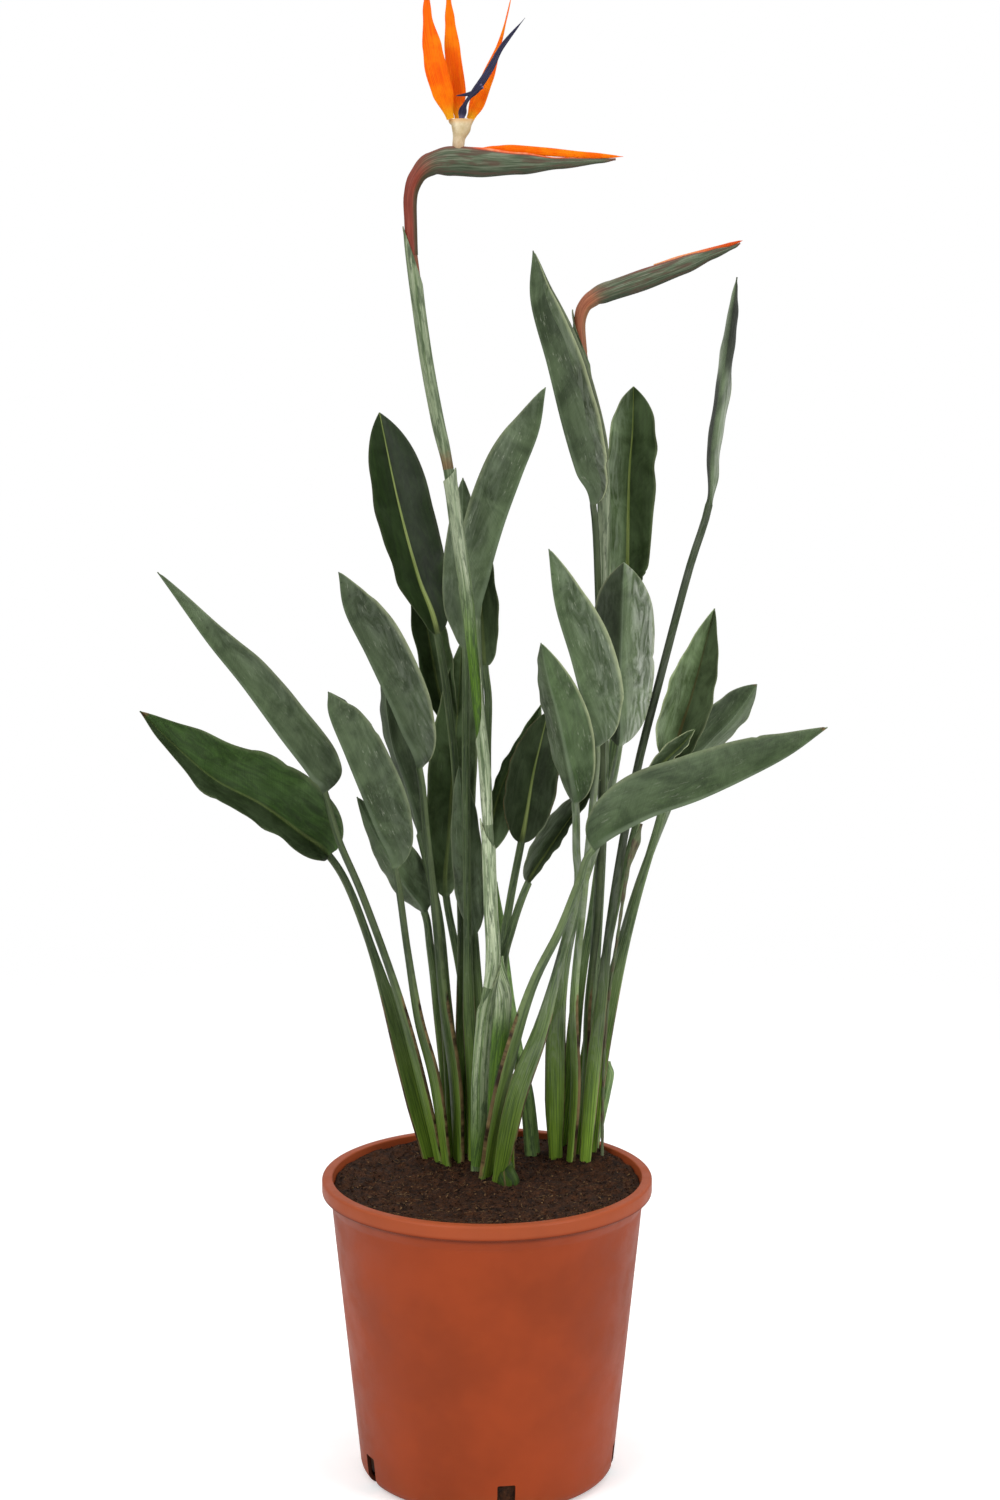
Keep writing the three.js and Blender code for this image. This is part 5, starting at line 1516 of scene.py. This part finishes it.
def pot_finish(plant, name, cut):
    """Moulded terracotta-coloured plastic: mottled, faintly ribbed by its mould, scuffed and dusty."""
    f = Finish(name)
    place = f.place()
    height = f.rise(place)
    band_foot = BAND_FOOT * MM
    mottle = f.noise(place, 46.0, 4.0, 0.6)
    grain = f.noise(place, 700.0, 2.0)
    rings = f.noise(f.combine(0.0, 0.0, height), 260.0, 2.0)
    scratch = f.noise(f.stretch(place, 60.0, 60.0, 900.0), 1.0, 3.0, 0.6)
    scuffs = f.step(scratch, 0.66, 0.76) * f.step(mottle, 0.5, 0.62)
    dust = f.step(height, 0.03, 0.0) * f.step(mottle, 0.3, 0.7)
    # Painted shadow: a dark band just under the rim band's foot, fading out 6 mm below it.
    painted_shadow_line = f.step(height, band_foot - 0.006, band_foot - 0.0015) \
        * f.step(height, band_foot + 0.001, band_foot)
    # Everything above the rim band's foot is painted lighter: a painted highlight on the rim.
    base = f.coated(f.mix(f.step(f.noise(place, 9.0, 4.0, 0.6), 0.32, 0.7), plant.pot_deep, plant.pot_colour),
        (f.step(mottle, 0.5, 0.74) * 0.15, "a0461e"), (scuffs * 0.15, "b06a48"), (dust * 0.2, "7c5238"),
        (painted_shadow_line * 0.6, "4c1c0a"), (f.step(height, band_foot, band_foot + 0.003) * 0.35, "b8623e"))
    # The cut faces of the drain slots are painted nearly black: painted shade inside the slots.
    if cut:
        base = f.mix(f.step(mottle, 0.2, 0.8, 0.7, 0.9), base, "1c0d07")
    return f.done(base, f.step(mottle + scuffs * 0.4, 0.3, 0.9, plant.pot_roughness, 0.6),
        grain * 0.35 + rings * 0.5, 0.25, 0.0005, Specular_IOR_Level=0.2)


def floor_finish():
    """Pale studio floor that fades out towards its rim."""
    f = Finish("studio_floor")
    grain = f.noise(f.place(), 30.0)
    pale = f.mix(f.step(grain, 0.3, 0.7), (0.9, 0.9, 0.9), (0.94, 0.94, 0.94))
    away = f.node("ShaderNodeVectorMath", "Value", {0: f.place()}, operation="LENGTH")
    return f.done(pale, f.step(grain, 0.3, 0.7, 0.75, 0.85), grain, 0.05, 0.0004, Specular_IOR_Level=0.2,
        Emission_Color=WHITE, Emission_Strength=f.seen() * 0.3, Alpha=f.step(away, 2.0, 0.5))


def colour_setting(name, description, hex_code):
    return bpy.props.FloatVectorProperty(name=name, description=description, default=colour(hex_code),
        size=3, min=0.0, max=1.0, subtype="COLOR")


def matt_setting(name, description, default):
    return bpy.props.FloatProperty(name=name, description=description, default=default, min=0.1, max=1.0,
        subtype="FACTOR")


def count_setting(name, description, default, most):
    return bpy.props.IntProperty(name=name, description=description, default=default, min=0, max=most)


def power_setting(name, description, default):
    return bpy.props.FloatProperty(name=name, description=description, default=default, min=0.0, max=500.0,
        unit="POWER")


class PlantSettings(bpy.types.PropertyGroup):
    """Sizes and colours of the plant, its pot and its soil."""

    leaf_face: colour_setting("Leaf face", "Darkest green of a leaf's upper face", "2a331f")
    leaf_face_light: colour_setting("Leaf face, lighter", "Lighter green of a leaf's upper face", "47543a")
    leaf_back: colour_setting("Leaf underside", "Darker grey-green of a leaf's underside", "2f3926")
    leaf_back_light: colour_setting(
        "Leaf underside, lighter", "Lighter grey-green of the underside", "4a573e")
    leaf_roughness: matt_setting("Leaf roughness", "How matt the glossiest parts of a leaf are", 0.42)
    vein_depth: bpy.props.FloatProperty(name="Vein depth", description="Depth of the slanting veins",
        default=0.0004, min=0.0, max=0.003, unit="LENGTH", subtype="DISTANCE", precision=5)
    sepal_orange: colour_setting("Sepal orange", "Lighter orange of the flower's petals", "ff7600")
    sepal_deep: colour_setting("Sepal deep orange", "Deeper orange of the flower's petals", "ec4e00")
    arrow_blue: colour_setting("Arrow blue", "Blue of the arrow-shaped petal", "17152c")
    spathe_lip: colour_setting("Spathe lip", "Orange-red of the flower sheath's lips", "e05a1e")
    soil_dark: colour_setting("Damp soil", "Darkest colour of the soil", "1d100a")
    soil_light: colour_setting("Dry soil", "Lighter colour of the soil", "452815")
    crumbs: count_setting("Crumbs", "Lumps that lie on the soil", 2600, 4000)
    fibres: count_setting("Fibres", "Straws and fine roots on the soil", 260, 600)
    pot_colour: colour_setting("Pot", "Terracotta colour of the pot's plastic", "9a3d14")
    pot_deep: colour_setting("Pot, deeper", "Deeper terracotta in the pot's mottling", "88350f")
    pot_roughness: matt_setting("Pot roughness", "How matt the pot's glossiest parts are", 0.4)


class StageSettings(bpy.types.PropertyGroup):
    """The studio round the plant."""

    lens: bpy.props.FloatProperty(name="Lens", description="Focal length of the camera",
        default=67.32, min=20.0, max=200.0, unit="CAMERA")
    camera_place: bpy.props.FloatVectorProperty(name="Camera place", description="Where the camera stands",
        default=(0.011, -2.3, 0.982), size=3, unit="LENGTH", subtype="XYZ")
    camera_pitch: bpy.props.FloatProperty(name="Camera pitch", description="How far the camera looks down",
        default=math.radians(8.832), min=0.0, max=1.5, unit="ROTATION", subtype="ANGLE")
    key_power: power_setting("Key light", "Power of the large soft light on the left", 26.0)
    fill_power: power_setting("Fill light", "Power of the soft light on the right", 20.0)
    top_power: power_setting("Top light", "Power of the soft light overhead", 10.0)
    ambient: bpy.props.FloatProperty(name="Ambient light", description="Strength of the light from all round",
        default=0.8, min=0.0, max=4.0)


# The soft lights: place, the place that they look at, width and height, in metres.
SOFTBOXES = {
    "key": ((-1.5, -1.7, 1.7), (0.0, 0.0, 0.6), 1.2, 1.8),
    "fill": ((1.7, -1.3, 1.3), (0.0, 0.0, 0.5), 0.7, 1.8),
    "top": ((0.2, 0.3, 2.6), (0.0, 0.0, 0.6), 1.6, 1.6),
}
SENSOR_WIDTH = 36.0
CLIP_START = 0.05
FLOOR_RADIUS = 4.0
AMBIENT_BELOW = 0.3


class PLANT_OT_leaves(bpy.types.Operator):
    """Make every leaf with its stalk and sheath"""
    bl_idname = "plant.make_leaves"
    bl_label = "Make Leaves"

    def execute(self, context):
        add_pieces(LEAVES, leaf_skin, "veined", leaf_finish(context.scene.plant_settings))
        return {"FINISHED"}


class PLANT_OT_shoots(bpy.types.Operator):
    """Make the leafless shoots, the pale sheath and the withered stalk"""
    bl_idname = "plant.make_shoots"
    bl_label = "Make Shoots"

    def execute(self, context):
        add_pieces(SHOOTS, shoot_skin, "seamed", shared_stem_finish())
        add_piece("dried_stalk", dried_stalk_skin(), "papery", dry_finish())
        return {"FINISHED"}


class PLANT_OT_stems(bpy.types.Operator):
    """Make the two flower stems with their sleeves"""
    bl_idname = "plant.make_stems"
    bl_label = "Make Flower Stems"

    def execute(self, context):
        add_pieces(STEMS, stem_skin, "sleeved", shared_stem_finish())
        return {"FINISHED"}


class PLANT_OT_spathes(bpy.types.Operator):
    """Make the two boat-shaped flower sheaths"""
    bl_idname = "plant.make_spathes"
    bl_label = "Make Spathes"

    def execute(self, context):
        add_pieces(SPATHES, spathe_skin, "lipped", spathe_finish(context.scene.plant_settings))
        return {"FINISHED"}


class PLANT_OT_petals(bpy.types.Operator):
    """Make the orange petals, the blue arrow and the pale foot of the bloom"""
    bl_idname = "plant.make_petals"
    bl_label = "Make Petals"

    def execute(self, context):
        plant = context.scene.plant_settings
        add_pieces(PETALS, petal_skin, "lined", petal_finish(plant))
        add_piece("arrow_petal", arrow_skin(), "grooved", arrow_finish(plant))
        add_piece("bloom_base", bloom_base_skin(), "ribbed", bloom_base_finish())
        return {"FINISHED"}


class PLANT_OT_soil(bpy.types.Operator):
    """Make the soil with its crumbs and fibres"""
    bl_idname = "plant.make_soil"
    bl_label = "Make Soil"

    def execute(self, context):
        plant = context.scene.plant_settings
        peat = soil_skin(plant.crumbs, plant.fibres).build("soil_crumbly", [soil_finish(plant)], CRUMB_EDGE)
        dress(peat, "soil")
        return {"FINISHED"}


class PLANT_OT_pot(bpy.types.Operator):
    """Make the nursery pot with its rim and drain slots"""
    bl_idname = "plant.make_pot"
    bl_label = "Make Pot"

    def execute(self, context):
        plant = context.scene.plant_settings
        finishes = [pot_finish(plant, "pot_plastic", False), pot_finish(plant, "pot_plastic_cut", True)]
        pot = pot_skin().build("pot_moulded", finishes, POT_EDGE)
        cut_slots(pot)
        dress(pot, "pot")
        return {"FINISHED"}


class PLANT_OT_stage(bpy.types.Operator):
    """Make the studio: floor, soft lights and camera"""
    bl_idname = "plant.make_stage"
    bl_label = "Make Stage"

    def execute(self, context):
        scene, stage = context.scene, context.scene.stage_settings
        add_floor()
        for name, (place, target, width, height) in SOFTBOXES.items():
            add_softbox(f"{name}_softbox", place, target, width, height, getattr(stage, f"{name}_power"))
        scene.world = studio_air(stage.ambient)
        scene.view_settings.view_transform = "Standard"
        camera = bpy.data.cameras.new("photo_camera")
        camera.lens = stage.lens
        camera.sensor_width = SENSOR_WIDTH
        camera.clip_start = CLIP_START
        scene.camera = add_object("photo_camera", camera)
        scene.camera.location = stage.camera_place
        scene.camera.rotation_euler = (math.pi / 2 - stage.camera_pitch, 0.0, 0.0)
        return {"FINISHED"}


def shared_stem_finish():
    """The finish that stems and shoots share, made once."""
    return bpy.data.materials.get("stem") or stem_finish()


def add_floor():
    made = bmesh.new()
    bmesh.ops.create_circle(made, cap_ends=True, cap_tris=True, segments=96, radius=FLOOR_RADIUS)
    mesh = bpy.data.meshes.new("studio_floor")
    made.to_mesh(mesh)
    made.free()
    mesh.materials.append(floor_finish())
    floor = add_object("studio_floor", mesh)


def add_softbox(name, place, target, width, height, power):
    light = bpy.data.lights.new(name, "AREA")
    light.shape = "RECTANGLE"
    light.size = width
    light.size_y = height
    light.energy = power
    box = add_object(name, light)
    box.location = place
    box.rotation_euler = (Vector(target) - Vector(place)).to_track_quat("-Z", "Y").to_euler()


def studio_air(ambient):
    """Light from all round, weaker from below, in front of a white backdrop."""
    world = bpy.data.worlds.new("studio_air")
    world.use_nodes = True
    air = Graph(world.node_tree)
    sky = air.tree.nodes["Background"]
    air.put(sky.inputs["Color"], WHITE)
    rise = air.rise(air.node("ShaderNodeTexCoord", "Generated"))
    air.put(sky.inputs["Strength"], air.step(rise, -0.3, 0.6, ambient * AMBIENT_BELOW, ambient, "LINEAR"))
    backdrop = air.node("ShaderNodeBackground", 0, {"Color": WHITE, "Strength": 1.0})
    either = air.node("ShaderNodeMixShader", 0, {0: air.seen(), 1: Wire(air, sky.outputs[0]), 2: backdrop})
    air.put(air.tree.nodes["World Output"].inputs[0], either)
    return world


OPERATORS = (PLANT_OT_leaves, PLANT_OT_shoots, PLANT_OT_stems, PLANT_OT_spathes, PLANT_OT_petals,
    PLANT_OT_soil, PLANT_OT_pot, PLANT_OT_stage)


class PLANT_PT_sidebar(bpy.types.Panel):
    """Every step of the plant's making, with its sizes and colours"""
    bl_idname = "PLANT_PT_sidebar"
    bl_label = "Bird of Paradise"
    bl_space_type = "VIEW_3D"
    bl_region_type = "UI"
    bl_category = "Plant"

    def draw(self, context):
        for operator in OPERATORS:
            self.layout.operator(operator.bl_idname)
        for settings in (context.scene.plant_settings, context.scene.stage_settings):
            box = self.layout.box()
            for key in settings.bl_rna.properties.keys():
                if key not in ("rna_type", "name"):
                    box.prop(settings, key)


CLASSES = (PlantSettings, StageSettings, *OPERATORS, PLANT_PT_sidebar)


def register():
    for kind in CLASSES:
        bpy.utils.register_class(kind)
    bpy.types.Scene.plant_settings = bpy.props.PointerProperty(type=PlantSettings)
    bpy.types.Scene.stage_settings = bpy.props.PointerProperty(type=StageSettings)


def unregister():
    del bpy.types.Scene.stage_settings
    del bpy.types.Scene.plant_settings
    for kind in reversed(CLASSES):
        bpy.utils.unregister_class(kind)


def main():
    register()
    bpy.ops.plant.make_pot()
    bpy.ops.plant.make_soil()
    bpy.ops.plant.make_leaves()
    bpy.ops.plant.make_shoots()
    bpy.ops.plant.make_stems()
    bpy.ops.plant.make_spathes()
    bpy.ops.plant.make_petals()
    bpy.ops.plant.make_stage()


if __name__ == "__main__":
    main()
